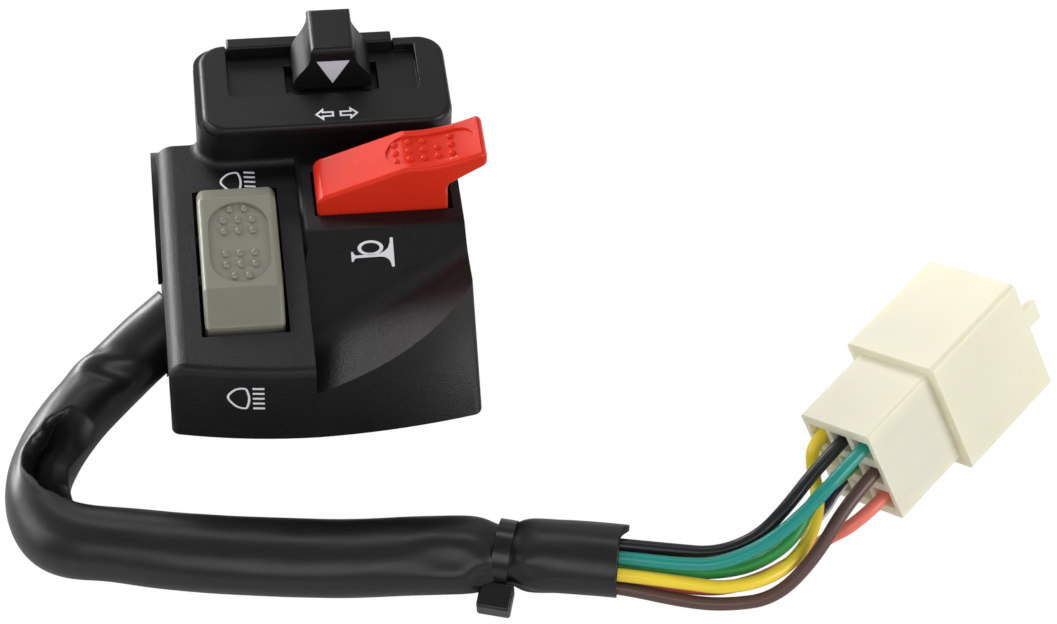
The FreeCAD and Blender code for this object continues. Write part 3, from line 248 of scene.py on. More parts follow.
FINISHES = {
    "housing_black": moulded_grain("housing_black", (0.0035, 0.0035, 0.004), 0.38,
                                   grain_mm=0.24, depth_mm=0.075),
    "cover_black": moulded_grain("cover_black", (0.005, 0.005, 0.005), 0.38,
                                 grain_mm=0.5, depth_mm=0.008),
    "rocker_grey": smooth_moulding("rocker_grey", (0.235, 0.235, 0.185), 0.3, Specular_IOR_Level=0.36),
    "horn_red": smooth_moulding("horn_red", (0.80, 0.034, 0.013), 0.25, Specular_IOR_Level=0.18),
    "inner_plastic": smooth_moulding("inner_plastic", (0.012, 0.012, 0.012), 0.5),
    "board": smooth_moulding("board", (0.32, 0.18, 0.08), 0.55),
    "steel": plated_metal("steel", (0.55, 0.56, 0.57), 0.32),
    "dark_steel": plated_metal("dark_steel", (0.05, 0.05, 0.052), 0.4),
    "contact_brass": plated_metal("contact_brass", (0.75, 0.55, 0.25), 0.28),
    "rubber_black": moulded_grain("rubber_black", (0.012, 0.012, 0.012), 0.62,
                                  grain_mm=0.6, depth_mm=0.01),
    "sleeve_black": pvc_sleeving("sleeve_black"),
    "nylon_black": smooth_moulding("nylon_black", (0.006, 0.006, 0.0065), 0.26),
    "connector_ivory": translucent_nylon("connector_ivory"),
    "wire_black": smooth_moulding("wire_black", (0.010, 0.010, 0.012), 0.30),
    "wire_teal": smooth_moulding("wire_teal", (0.010, 0.30, 0.25), 0.30),
    "wire_yellow": smooth_moulding("wire_yellow", (1.0, 0.74, 0.04), 0.30),
    "wire_brown": smooth_moulding("wire_brown", (0.115, 0.062, 0.052), 0.32),
    "wire_green": smooth_moulding("wire_green", (0.030, 0.33, 0.075), 0.30),
    "wire_red": smooth_moulding("wire_red", (0.95, 0.22, 0.16), 0.32),
    "wire_blue": striped_insulation("wire_blue", (0.010, 0.010, 0.055), (0.75, 0.75, 0.78)),
}
PRINT_WHITE = smooth_moulding("print_white", (0.82, 0.83, 0.86), 0.45)
PRINT_LAVENDER = smooth_moulding("print_lavender", (0.74, 0.74, 0.84), 0.45)


def dress_nodes():
    """Every CAD node gets its slot's finish."""
    for name, node in NODES.items():
        node.data.materials.clear()
        node.data.materials.append(FINISHES[slot_of(name)])


# Mesh helpers

# Edges that turn by more than this many degrees are rounded and drawn as edges
SHARP_FROM = 32.0
SAME_PLACE_M = 1e-6
SAME_PLANE_DEG = 0.3


def add_piece(name, mesh, body, material):
    piece = bpy.data.objects.new(name, mesh)
    bpy.context.scene.collection.objects.link(piece)
    mesh.materials.clear()
    mesh.materials.append(material)
    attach(piece, body)
    return piece


def applied(piece):
    """The piece's mesh with its modifiers applied."""
    graph = bpy.context.evaluated_depsgraph_get()
    mesh = bpy.data.meshes.new_from_object(piece.evaluated_get(graph))
    piece.modifiers.clear()
    piece.data = mesh
    return piece


def finished_mesh(work, mesh):
    """Writes the edited faces to the mesh, all of them facing outwards."""
    bmesh.ops.recalc_face_normals(work, faces=work.faces)
    work.to_mesh(mesh)
    work.free()
    return mesh


def merged_copy(node):
    """A CAD node's triangles joined into one surface, its flat faces into whole faces."""
    mesh = NODES[node].data.copy()
    work = bmesh.new()
    work.from_mesh(mesh)
    bmesh.ops.remove_doubles(work, verts=work.verts, dist=SAME_PLACE_M)
    flat = math.radians(SAME_PLANE_DEG)
    bmesh.ops.dissolve_limit(work, angle_limit=flat, verts=work.verts, edges=work.edges)
    work.to_mesh(mesh)
    work.free()
    return mesh


def add_bevel(piece, width_mm, segments, angle):
    bevel = piece.modifiers.new("edges", "BEVEL")
    bevel.width = width_mm * MM
    bevel.segments = segments
    bevel.limit_method = "ANGLE"
    bevel.angle_limit = math.radians(angle)


def soften(piece, width_mm, segments=2, angle=SHARP_FROM):
    """Rounds the sharp edges a little, as a moulding's are, and smooths the rest."""
    add_bevel(piece, width_mm, segments, angle)
    applied(piece)
    piece.data.shade_smooth()
    piece.data.set_sharp_from_angle(angle=math.radians(angle))
    weighted = piece.modifiers.new("normals", "WEIGHTED_NORMAL")
    weighted.keep_sharp = True
    return applied(piece)


def moulded(node, width_mm, segments=2, angle=SHARP_FROM):
    """The node's own shape with softened edges, in place of the CAD node."""
    slot = slot_of(node)
    piece = add_piece(node + "_moulding", merged_copy(node), body_of(node), FINISHES[slot])
    soften(piece, width_mm, segments, angle)
    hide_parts(node)
    return piece


def grip_dot_tree():
    """Geometry nodes: a dome on every point of a mesh, standing on the point's normal."""
    tree = bpy.data.node_groups.new("grip_dots", "GeometryNodeTree")
    face = tree.interface
    face.new_socket("Geometry", in_out="INPUT", socket_type="NodeSocketGeometry")
    face.new_socket("Radius", in_out="INPUT", socket_type="NodeSocketFloat")
    face.new_socket("Height", in_out="INPUT", socket_type="NodeSocketFloat")
    face.new_socket("Material", in_out="INPUT", socket_type="NodeSocketMaterial")
    face.new_socket("Geometry", in_out="OUTPUT", socket_type="NodeSocketGeometry")
    new, link = tree.nodes.new, tree.links.new
    given = new("NodeGroupInput")
    result = new("NodeGroupOutput")
    points = new("GeometryNodeMeshToPoints")
    dome = new("GeometryNodeMeshUVSphere")
    dome.inputs["Segments"].default_value = 20
    dome.inputs["Rings"].default_value = 10
    dome.inputs["Radius"].default_value = 1.0
    facing = new("GeometryNodeInputNamedAttribute")
    facing.data_type = "FLOAT_VECTOR"
    facing.inputs["Name"].default_value = "facing"
    turn = new("FunctionNodeAlignRotationToVector")
    turn.axis = "Z"
    size = new("ShaderNodeCombineXYZ")
    copies = new("GeometryNodeInstanceOnPoints")
    real = new("GeometryNodeRealizeInstances")
    smooth = new("GeometryNodeSetShadeSmooth")
    paint = new("GeometryNodeSetMaterial")
    link(given.outputs["Geometry"], points.inputs["Mesh"])
    link(given.outputs["Radius"], size.inputs["X"])
    link(given.outputs["Radius"], size.inputs["Y"])
    link(given.outputs["Height"], size.inputs["Z"])
    link(facing.outputs["Attribute"], turn.inputs["Vector"])
    link(points.outputs["Points"], copies.inputs["Points"])
    link(dome.outputs["Mesh"], copies.inputs["Instance"])
    link(turn.outputs["Rotation"], copies.inputs["Rotation"])
    link(size.outputs["Vector"], copies.inputs["Scale"])
    link(copies.outputs["Instances"], real.inputs["Geometry"])
    link(real.outputs["Geometry"], smooth.inputs["Geometry"])
    link(smooth.outputs["Geometry"], paint.inputs["Geometry"])
    link(given.outputs["Material"], paint.inputs["Material"])
    link(paint.outputs["Geometry"], result.inputs["Geometry"])
    return tree


GRIP_DOTS = grip_dot_tree()


def grip_dots(name, places, facings, dome, body, slot):
    """Domes half sunk at each place; dome is their radius and height."""
    mesh = bpy.data.meshes.new(name)
    mesh.from_pydata([p * MM for p in places], [], [])
    facing = mesh.attributes.new("facing", "FLOAT_VECTOR", "POINT")
    facing.data.foreach_set("vector", [c for f in facings for c in f])
    piece = bpy.data.objects.new(name, mesh)
    bpy.context.scene.collection.objects.link(piece)
    modifier = piece.modifiers.new("dots", "NODES")
    modifier.node_group = GRIP_DOTS
    radius, height = dome
    values = {"Radius": radius * MM, "Height": height * MM, "Material": FINISHES[slot]}
    for item in GRIP_DOTS.interface.items_tree:
        if item.in_out == "INPUT" and item.name in values:
            modifier[item.identifier] = values[item.name]
    applied(piece)
    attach(piece, body)


# Printed symbols: flat outlines laid on the surface that carries them

INK_MM = 0.035
ARROW_LENGTH = 3.15
ARROW_HEIGHT = 3.1
ARROW_HEAD_SHARE = 0.46
ARROW_SHAFT_SHARE = 0.21
ARROW_LINE = 0.34
ARROW_OFFSET = 2.05
LAMP_LINE = 0.36
RAY_START = 1.85
RAY_END = 3.7
RAY_PITCH = 1.12
RAY_HALF_WIDTH = 0.2
HORN_SYMBOL_DOWN = 4.4


class Surface:
    """A place to print on: an origin, two directions and the piece underneath."""

    def __init__(self, host, origin, right, up):
        self.origin = Vector(origin) * MM
        self.right = Vector(right).normalized()
        self.up = Vector(up).normalized()
        self.out = self.right.cross(self.up).normalized()
        self.tree = BVHTree.FromObject(host, bpy.context.evaluated_depsgraph_get())

    def seat(self, x, y):
        above, reach = 3, 8
        flat = self.origin + (self.right * x + self.up * y) * MM
        hit, _, _, _ = self.tree.ray_cast(flat + self.out * above * MM, -self.out, reach * MM)
        return hit if hit else flat


def print_symbol(name, surface, regions, body, material=PRINT_WHITE):
    """Each region is a list of closed outlines; the first is its edge and the rest are holes."""
    work = bmesh.new()
    for region in regions:
        loops = [[Vector((x, y, 0.0)) for x, y in loop] for loop in region]
        flat = [p for loop in loops for p in loop]
        seats = [surface.seat(p.x, p.y) for p in flat]
        top = [work.verts.new(s + surface.out * INK_MM * MM) for s in seats]
        low = [work.verts.new(s - surface.out * INK_MM * MM) for s in seats]
        for a, b, c in tessellate_polygon(loops):
            work.faces.new((top[a], top[b], top[c]))
            work.faces.new((low[c], low[b], low[a]))
        start = 0
        for loop in loops:
            for k in range(len(loop)):
                i, j = start + k, start + (k + 1) % len(loop)
                work.faces.new((top[i], low[i], low[j], top[j]))
            start += len(loop)
    mesh = finished_mesh(work, bpy.data.meshes.new(name))
    return add_piece(name, mesh, body, material)


def inset(loop, width):
    """The loop moved inwards by width; the loop runs anticlockwise."""
    # Keeps sharp corners from running far inwards
    least_share = 0.35
    moved = []
    for k, here in enumerate(loop):
        before, after = Vector(loop[k - 1]), Vector(loop[(k + 1) % len(loop)])
        here = Vector(here)
        a = (here - before).normalized()
        b = (after - here).normalized()
        na, nb = Vector((-a.y, a.x)), Vector((-b.y, b.x))
        middle = (na + nb).normalized()
        moved.append(tuple(here + middle * (width / max(least_share, middle.dot(na)))))
    return moved


def oval(cx, cy, rx, ry, count=40):
    angles = [math.radians(360.0 * k / count) for k in range(count)]
    return [(cx + rx * math.cos(a), cy + ry * math.sin(a)) for a in angles]


def arrow_outline(length, height, direction):
    """An arrow's outline, anticlockwise about its centre; direction is 1 rightwards, -1 leftwards."""
    half = length / 2
    head = ARROW_HEAD_SHARE * length
    shaft = ARROW_SHAFT_SHARE * height
    loop = [(half, 0), (half - head, height / 2), (half - head, shaft), (-half, shaft),
            (-half, -shaft), (half - head, -shaft), (half - head, -height / 2)]
    return [(direction * x, direction * y) for x, y in loop]


def smooth_loop(corners, steps=6):
    """A closed curve through the corners."""
    points = []
    count = len(corners)
    for k in range(count):
        a, b, c, d = [Vector(corners[(k + n - 1) % count]) for n in range(4)]
        for n in range(steps):
            t = n / steps
            p = (b * 2 + (c - a) * t + (a * 2 - b * 5 + c * 4 - d) * t ** 2
                 + (b * 3 - a - c * 3 + d) * t ** 3) / 2
            points.append(tuple(p))
    return points


def headlamp_symbol(ray_slant=0.0):
    """A lamp seen from the side, narrow at its back, with five rays."""
    lamp = smooth_loop([(-2.2, 0.15), (-1.9, -0.75), (-0.75, -2.1), (0.75, -2.45), (1.25, -1.5),
                        (1.45, 0.0), (1.25, 1.5), (0.75, 2.4), (-0.75, 2.2), (-1.9, 1.05)])
    regions = [[lamp, inset(lamp, LAMP_LINE)]]
    for k in range(5):
        near = (k - 2) * RAY_PITCH
        far = near + ray_slant
        regions.append([[(RAY_START, near - RAY_HALF_WIDTH), (RAY_END, far - RAY_HALF_WIDTH),
                         (RAY_END, far + RAY_HALF_WIDTH), (RAY_START, near + RAY_HALF_WIDTH)]])
    return regions


def horn_symbol():
    """A trumpet with its bell to the right and a loop over its tube."""
    upper = [(6.95, 2.45), (6.5, 2.45), (6.38, 1.6), (6.05, 0.75), (5.4, 0.2), (4.7, -0.1)]
    mouth_up = [(0.75, -0.25), (0.42, 0.0), (0.32, 0.35), (0.0, 0.4)]
    mouth_low = [(0.0, -1.3), (0.32, -1.25), (0.42, -0.95), (0.75, -0.7)]
    lower = [(4.7, -0.65), (5.4, -0.75), (6.05, -1.15), (6.38, -1.75), (6.5, -2.45), (6.95, -2.45)]
    tube = upper + mouth_up + mouth_low + lower
    return [[tube], [oval(3.2, 0.9, 2.1, 1.25), oval(3.2, 0.9, 1.5, 0.85)]]


def make_symbols(front, plate, knob):
    along_bar, away, upwards = (1, 0, 0), (0, 1, 0), (0, 0, 1)
    plate_face = Surface(plate, (KNOB_X, 0.4, PLATE_Z), along_bar, away)
    for name, direction in (("arrow_left", -1), ("arrow_right", 1)):
        loop = arrow_outline(ARROW_LENGTH, ARROW_HEIGHT, direction)
        hole = inset(loop, ARROW_LINE)
        middle = direction * ARROW_OFFSET
        arrow = [[(x + middle, y) for x, y in ring] for ring in (loop, hole)]
        print_symbol(name, plate_face, [arrow], "root")
    knob_face = Surface(knob, (KNOB_X, 8.0, 26.7), along_bar, upwards)
    triangle = [(-2.75, 2.5), (-0.07, -2.72), (2.8, 2.5)]
    print_symbol("slider_pointer", knob_face, [[triangle]], "indicator_slider", PRINT_LAVENDER)
    slope = math.radians(SCOOP_SLOPE)
    down_scoop = (5.65, RIM[0] - HORN_SYMBOL_DOWN * math.cos(slope),
                  RIM[1] - HORN_SYMBOL_DOWN * math.sin(slope))
    scoop = Surface(front, down_scoop, along_bar, (0, math.cos(slope), math.sin(slope)))
    print_symbol("horn_symbol", scoop, horn_symbol(), "root")
    front_wall = Surface(front, (-13.9, FRONT_WALL_Y, 9.5), along_bar, upwards)
    print_symbol("beam_symbol_near", front_wall, headlamp_symbol(), "root")
    plateau = Surface(front, (-12.5, -5.75, PLATEAU_Z), along_bar, away)
    print_symbol("beam_symbol_far", plateau, headlamp_symbol(ray_slant=-0.25), "root")


# Housings, cover, knob and rocker

def make_housings():
    """The mouldings that the symbols are printed on: the front housing and the cover plate."""
    front = moulded("front_housing", width_mm=0.32, segments=3)
    moulded("rear_housing", width_mm=0.3)
    plate = moulded("indicator_plate", width_mm=0.3)
    moulded("indicator_slide_strip", width_mm=0.15)
    return front, plate


def make_knob():
    return moulded("indicator_knob", width_mm=0.6, segments=3, angle=40.0)


def make_rocker():
    """The rocker and its two groups of dots, three, three and two from the middle outwards."""
    moulded("beam_rocker", width_mm=0.35, segments=3, angle=40.0)
    pivot = Vector(ROCKER_PIVOT)
    tilt = Matrix.Rotation(math.radians(ROCKER_TILT), 3, "X")
    raised = 0.1
    places = []
    for side in (1, -1):
        for row, count in enumerate((3, 3, 2)):
            for k in range(count):
                across = (k - (count - 1) / 2) * ROCKER_DOT_PITCH
                along = side * (row + 1) * ROCKER_DOT_PITCH
                flat = Vector((ROCKER_PIVOT[0] + across, ROCKER_PAD_Y + along, ROCKER_PAD_Z + raised))
                places.append(pivot + tilt @ (flat - pivot))
    facings = [tilt @ Vector((0, 0, 1))] * len(places)
    grip_dots("rocker_grip_dots", places, facings, ROCKER_DOT, "beam_rocker", "rocker_grey")


# Horn lever: a ramp, a hollow for the thumb and an upturned tip

RAMP_FOOT = (2.9, 21.4)
RAMP_SLOPE = 0.395
HOLLOW_X = 15.3
HOLLOW_Z = 26.3
HOLLOW_FALL = 0.05
TIP_CURVE = 0.0205
TIP_X = 27.6
PAD_DEPTH = 0.35
PAD_RADIUS = 3.3
PAD_ENDS = (12.3, 26.9)
PAD_INSIDE = 0.1
LEVER_DOT = (0.56, 0.42)
LEVER_DOT_START = 13.9
LEVER_DOT_PITCH = 2.3
LEVER_DOT_ROW = 2.0
LEVER_DOT_SUNK = 0.25


def horn_top_z(x):
    """Height of the lever's top."""
    if x < HOLLOW_X:
        return RAMP_FOOT[1] + (x - RAMP_FOOT[0]) * RAMP_SLOPE
    t = x - HOLLOW_X
    return HOLLOW_Z - HOLLOW_FALL * t + TIP_CURVE * t * t


def horn_outline():
    """Side view of the lever, anticlockwise from its low left corner, as (x, z)."""
    ramp = [(0.9, 14.0), (0.7, 19.6), (1.1, 20.5), (1.9, 21.1), RAMP_FOOT]
    steps = 14
    along = [HOLLOW_X + (TIP_X - HOLLOW_X) * k / steps for k in range(steps + 1)]
    top = [(x, horn_top_z(x)) for x in along]
    end = [(28.2, 28.6), (28.5, 27.9), (28.5, 26.6), (28.1, 26.0)]
    under = [(26.2, 24.8), (24.0, 23.4), (22.4, 22.3), (22.15, 21.4), (22.5, 14.0)]
    return ramp + top + end + under


def make_horn_lever():
    """The lever's skin: its outline carried across, with rounded long edges and a thumb pad."""
    outline = horn_outline()
    mesh = bpy.data.meshes.new("horn_lever_skin")
    count = len(outline)
    verts = [metres(x, HORN_FRONT, z) for x, z in outline]
    verts += [metres(x, HORN_BACK, z) for x, z in outline]
    faces = [list(range(count)), list(range(2 * count - 1, count - 1, -1))]
    for k in range(count):
        j = (k + 1) % count
        faces.append([k, k + count, j + count, j])
    mesh.from_pydata(verts, [], faces)
    mesh.validate()
    work = bmesh.new()
    work.from_mesh(mesh)
    finished_mesh(work, mesh)
    lever = add_piece("horn_lever_skin", mesh, "horn_lever", FINISHES["horn_red"])
    add_bevel(lever, width_mm=0.95, segments=5, angle=42.0)
    applied(lever)
    cut_thumb_pad(lever)
    soften(lever, width_mm=0.12, angle=35.0)
    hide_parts("horn_lever")
    make_lever_dots()


def make_lever_dots():
    """Five columns of three; the far dot of the fourth column is missing, as in the photograph."""
    missing = (3, 2)
    reach = 0.2
    places, facings = [], []
    for column in range(5):
        x = LEVER_DOT_START + LEVER_DOT_PITCH * column
        slope = (horn_top_z(x + reach) - horn_top_z(x - reach)) / (2 * reach)
        facing = Vector((-slope, 0, 1)).normalized()
        for row in range(3):
            if (column, row) == missing:
                continue
            y = HORN_MIDDLE + (row - 1) * LEVER_DOT_ROW
            places.append(Vector((x, y, horn_top_z(x) - LEVER_DOT_SUNK)))
            facings.append(facing)
    grip_dots("horn_grip_dots", places, facings, LEVER_DOT, "horn_lever", "horn_red")


def pad_half_width(x):
    """Half the pad's width at x, with round ends."""
    start, end = PAD_ENDS
    past = max(start + PAD_RADIUS - x, x - end + PAD_RADIUS, 0.0)
    return math.sqrt(max(0.05, PAD_RADIUS ** 2 - past ** 2))


def cut_thumb_pad(lever):
    """A shallow pocket with round ends, pressed into the top of the lever."""
    steps = 24
    above = 3.0
    x0, x1 = PAD_ENDS[0] + PAD_INSIDE, PAD_ENDS[1] - PAD_INSIDE
    work = bmesh.new()
    columns = []
    for k in range(steps + 1):
        x = x0 + (x1 - x0) * k / steps
        reach = pad_half_width(x)
        front, back = HORN_MIDDLE - reach, HORN_MIDDLE + reach
        corners = ((front, -PAD_DEPTH), (back, -PAD_DEPTH), (back, above), (front, above))
        columns.append([work.verts.new(metres(x, y, horn_top_z(x) + dz)) for y, dz in corners])
    for a, b in zip(columns, columns[1:]):
        for k in range(4):
            j = (k + 1) % 4
            work.faces.new((a[k], a[j], b[j], b[k]))
    work.faces.new(columns[0])
    work.faces.new(columns[-1])
    cutter = bpy.data.objects.new("pad_cutter", finished_mesh(work, bpy.data.meshes.new("pad_cutter")))
    bpy.context.scene.collection.objects.link(cutter)
    cut = lever.modifiers.new("pad", "BOOLEAN")
    cut.operation = "DIFFERENCE"
    cut.object = cutter
    applied(lever)
    bpy.data.objects.remove(cutter)


# Harness: routes chosen on the photograph's view

SLEEVE_ROUTE = [
    (-22.46, -19.09, -1.85), (-34.75, -25.90, -8.40), (-44.0, -38.6, -8.85), (-48.6, -50.6, -8.85),
    (-43.8, -59.7, -8.85), (-32.6, -62.5, -8.85), (-18.5, -65.6, -8.85), (0.0, -68.2, -8.85),
    (16.5, -68.7, -8.85), (34.0, -70.4, -8.85), (44.4, -72.7, -8.85),
]
SLEEVE_END = Vector(SLEEVE_ROUTE[-1])
SLEEVE_ALONG = Vector((0.976, -0.216, 0.0))
SLEEVE_SIDE = Vector((0.216, 0.976, 0.0))

# The middle of the connector's wire side, and its directions: across the columns, down the rows, inwards
CONNECTOR_AT = Vector((83.6, -61.1, -3.25))
CONNECTOR_ACROSS = Vector((0.539, -0.745, 0.393))
CONNECTOR_DOWN = Vector((0.395, -0.188, -0.899))
CONNECTOR_INWARDS = Vector((0.744, 0.640, 0.193))
CELL_PITCH = (4.7, 5.4)
WIRE_IN_SLEEVE = 5.0
WIRE_PAST_SLEEVE = 0.3
WIRE_IN_CELL = 4.0
LONG_STRAIGHT = 6.0
SHORT_STRAIGHT = 2.0

# Places in the sleeve's end as (side, up), cells as (column, row), and the points in between
WIRE_STARTS = {
    "black": (1.2, 2.5), "teal": (-1.4, 2.5), "yellow": (-3.6, 1.0), "brown": (-3.4, -2.4),
    "green": (-0.9, -0.3), "red": (-0.7, -3.0), "blue": (1.9, -1.1),
}
WIRE_CELLS = {
    "yellow": (-1, -1), "black": (0, -1), "teal": (1, -1), "green": (0, 0), "brown": (1, 0),
    "blue": (-1, 1), "red": (1, 1),
}
WIRE_MIDDLES = {
    "black": [(52.4, -72.5, -7.2), (59.5, -73.4, -7.9), (66.2, -72.5, -5.8), (71.1, -69.6, -2.4)],
    "teal": [(54.2, -76.1, -6.8), (59.8, -76.8, -6.3), (67.7, -74.7, -4.6), (75.0, -70.5, -1.2)],
    "yellow": [(54.2, -77.6, -9.5), (60.6, -78.8, -10.2), (68.7, -77.0, -10.3),
               (74.7, -71.9, -9.9), (78.2, -64.8, -8.4), (77.6, -59.3, -5.0)],
    "green": [(54.7, -74.6, -10.6), (60.6, -74.6, -11.2), (66.4, -74.0, -10.6), (72.6, -71.6, -7.9),
              (76.6, -65.8, -4.8)],
    "brown": [(54.3, -78.4, -13.2), (60.7, -79.6, -13.3), (68.6, -79.4, -12.8), (75.6, -74.9, -8.7)],
    "red": [(54.8, -75.6, -13.3), (61.3, -76.4, -13.35), (69.5, -74.0, -13.3), (78.0, -68.3, -13.0)],
    "blue": [(56.4, -70.6, -12.9), (62.3, -70.4, -13.3), (69.9, -68.5, -13.3), (76.0, -65.2, -13.3),
             (80.0, -62.0, -12.4)],
}


def nurbs_curve(name, points, bevel_mm=0.0):
    """One open spline with the route's points as its control points."""
    data = bpy.data.curves.new(name, "CURVE")
    data.dimensions = "3D"
    data.resolution_u = 14
    data.bevel_depth = bevel_mm * MM
    data.bevel_resolution = 5
    data.use_fill_caps = True
    spline = data.splines.new("NURBS")
    spline.points.add(len(points) - 1)
    for point, place in zip(spline.points, points):
        point.co = (*(Vector(place) * MM), 1.0)
    spline.order_u = 3
    spline.use_endpoint_u = True
    curve = bpy.data.objects.new(name, data)
    bpy.context.scene.collection.objects.link(curve)
    return curve


def curve_points(route):
    """Points along the route's spline, in metres."""
    curve = nurbs_curve("route", route)
    curve.data.use_fill_caps = False
    mesh = bpy.data.meshes.new_from_object(curve)
    points = [v.co.copy() for v in mesh.vertices]
    bpy.data.objects.remove(curve)
    return points


def run_length(points):
    return sum((b - a).length for a, b in zip(points, points[1:]))


def even_points(points, step_mm):
    """The same line with even steps."""
    total = run_length(points)
    count = max(2, round(total / (step_mm * MM)))
    made, k, passed = [points[0].copy()], 0, 0.0
    for n in range(1, count):
        target = total * n / count
        while passed + (points[k + 1] - points[k]).length < target:
            passed += (points[k + 1] - points[k]).length
            k += 1
        share = (target - passed) / (points[k + 1] - points[k]).length
        made.append(points[k].lerp(points[k + 1], share))
    made.append(points[-1].copy())
    return made


def frames_along(points):
    """Direction, side and up at every point; up stays as near the vertical as it can."""
    frames = []
    for k in range(len(points)):
        ahead = points[min(k + 1, len(points) - 1)]
        behind = points[max(k - 1, 0)]
        along = (ahead - behind).normalized()
        side = Vector((0, 0, 1)).cross(along).normalized()
        frames.append((along, side, along.cross(side).normalized()))
    return frames


def tube_mesh(name, points, ring_count, offset, inner=None):
    """A closed skin round the points. offset(k, angle) gives the skin's place from the centre as
    (side, up, ahead) in metres, and inner(k, angle) that of a hollow from the far end backwards."""
    frames = frames_along(points)
    work = bmesh.new()
    uv = work.loops.layers.uv.new("along")
    rings = []
    passes = [(k, offset) for k in range(len(points))]
    if inner:
        passes += [(k, inner) for k in range(len(points) - 1, inner.first - 1, -1)]
    for k, place in passes:
        along, side, up = frames[k]
        ring = []
        for n in range(ring_count):
            a = 2 * math.pi * n / ring_count
            s, u, ahead = place(k, a)
            ring.append(work.verts.new(points[k] + side * s + up * u + along * ahead))
        rings.append(ring)
    for r, (a, b) in enumerate(zip(rings, rings[1:])):
        for n in range(ring_count):
            m = (n + 1) % ring_count
            face = work.faces.new((a[n], a[m], b[m], b[n]))
            corners = ((n, r), (n + 1, r), (n + 1, r + 1), (n, r + 1))
            for loop, (i, j) in zip(face.loops, corners):
                loop[uv].uv = (i / ring_count, j / len(rings))
    work.faces.new(rings[0][::-1])
    work.faces.new(rings[-1])
    mesh = finished_mesh(work, bpy.data.meshes.new(name))
    mesh.shade_smooth()
    return mesh


def wave(value, centre, width):
    """A smooth hump of height 1."""
    return math.exp(-((value - centre) / width) ** 2)


def turn_from(angle, centre_deg):
    """Signed angle from a direction round the sleeve, in degrees, from -180 to 180."""
    return (math.degrees(angle) - centre_deg + 180.0) % 360.0 - 180.0


def interpolated(value, steps):
    """Straight interpolation in a list of (place, height)."""
    for (x0, y0), (x1, y1) in zip(steps, steps[1:]):
        if value <= x1:
            return y0 + (y1 - y0) * max(0.0, value - x0) / (x1 - x0)
    return steps[-1][1]


# Sleeve: lengths along it in millimetres, directions round it in degrees from the side, over the top

SLEEVE_RING = 120
SLEEVE_WALL = 0.8
OPEN_END_LENGTH = 9.0
ABOVE_FLOOR = 0.02

# Girth: fuller along the front, drawn in at the tie, narrower past it
FRONT_RUN_Y = -55.0
FRONT_FROM = 62.0
FRONT_EASE = 5.0
FRONT_WIDER = 1.05
FRONT_LOWER = 0.05
TIE_DRAW = 1.9
TIE_DRAW_HEIGHT = 0.62
TIE_REACH_BEFORE = 3.4
TIE_REACH_AFTER = 3.0
END_EASE = 8.0
END_NARROWER = 0.5
END_LOWER = 0.25
EXIT_EASE = 9.0

# The fold at the turn, and its ragged lip
FOLD_START = 27.0
FOLD_END = 56.0
FOLD_EASE = 7.0
FOLD_DEPTH = 4.0
FOLD_SPREAD = 84.0
# Fold depth in millimetres at which the fold's painted shade is full
FOLD_PAINTED_SHADE_DEPTH = 1.6
LIP_PLACES = [(24.0, 78.0), (31.0, 94.0), (38.0, 112.0), (43.0, 100.0), (48.0, 70.0), (56.0, 45.0)]
LIP_EDGE = 7.0
LIP_HUMP = 0.12
LIP_HUMP_BACK = 8.0
LIP_HUMP_WIDTH = 9.0
LIP_TEAR = 9.0
LIP_TEAR_LENGTH = 2.8

# Pleats beside the tie, waves all over, and the cut end
PLEATS = 6
PLEAT_HEIGHT = 0.24
BROAD_WAVES = 0.16
FINE_WAVES = 0.05
EXIT_PLAIN = 7.0
TIE_HALF_WIDTH = 1.5
CUT_SLANT = 0.3
CUT_CORNER = 1.5
CUT_BACK = 0.4

# Humps and dents. The slanted ones are placed from a line that runs round the sleeve at a slant,
# those of the turn by their length along, and those of the tie from the tie
SLANT_START = 14.8
SLANT = 3.5 / 55.0
Crease = namedtuple("Crease", "height along width facing spread")
SLANTED_CREASES = [Crease(0.45, 0.0, 1.9, 112.0, 62.0), Crease(-0.75, 3.4, 2.6, 62.0, 36.0)]
TURN_CREASES = [Crease(-0.9, 41.0, 9.0, 180.0, 50.0), Crease(1.0, 53.0, 5.5, 195.0, 45.0)]
TIE_CREASES = [Crease(-0.7, -9.0, 4.5, 132.0, 20.0), Crease(0.25, -11.5, 2.6, 95.0, 22.0),
               Crease(-0.45, -4.5, 1.6, 165.0, 20.0), Crease(-0.35, 5.0, 2.4, 150.0, 24.0)]


def creased(creases, place, angle):
    """Height of all the creases at a place along the sleeve and an angle round it."""
    return sum(c.height * wave(place, c.along, c.width) * wave(turn_from(angle, c.facing), 0.0, c.spread)
               for c in creases)


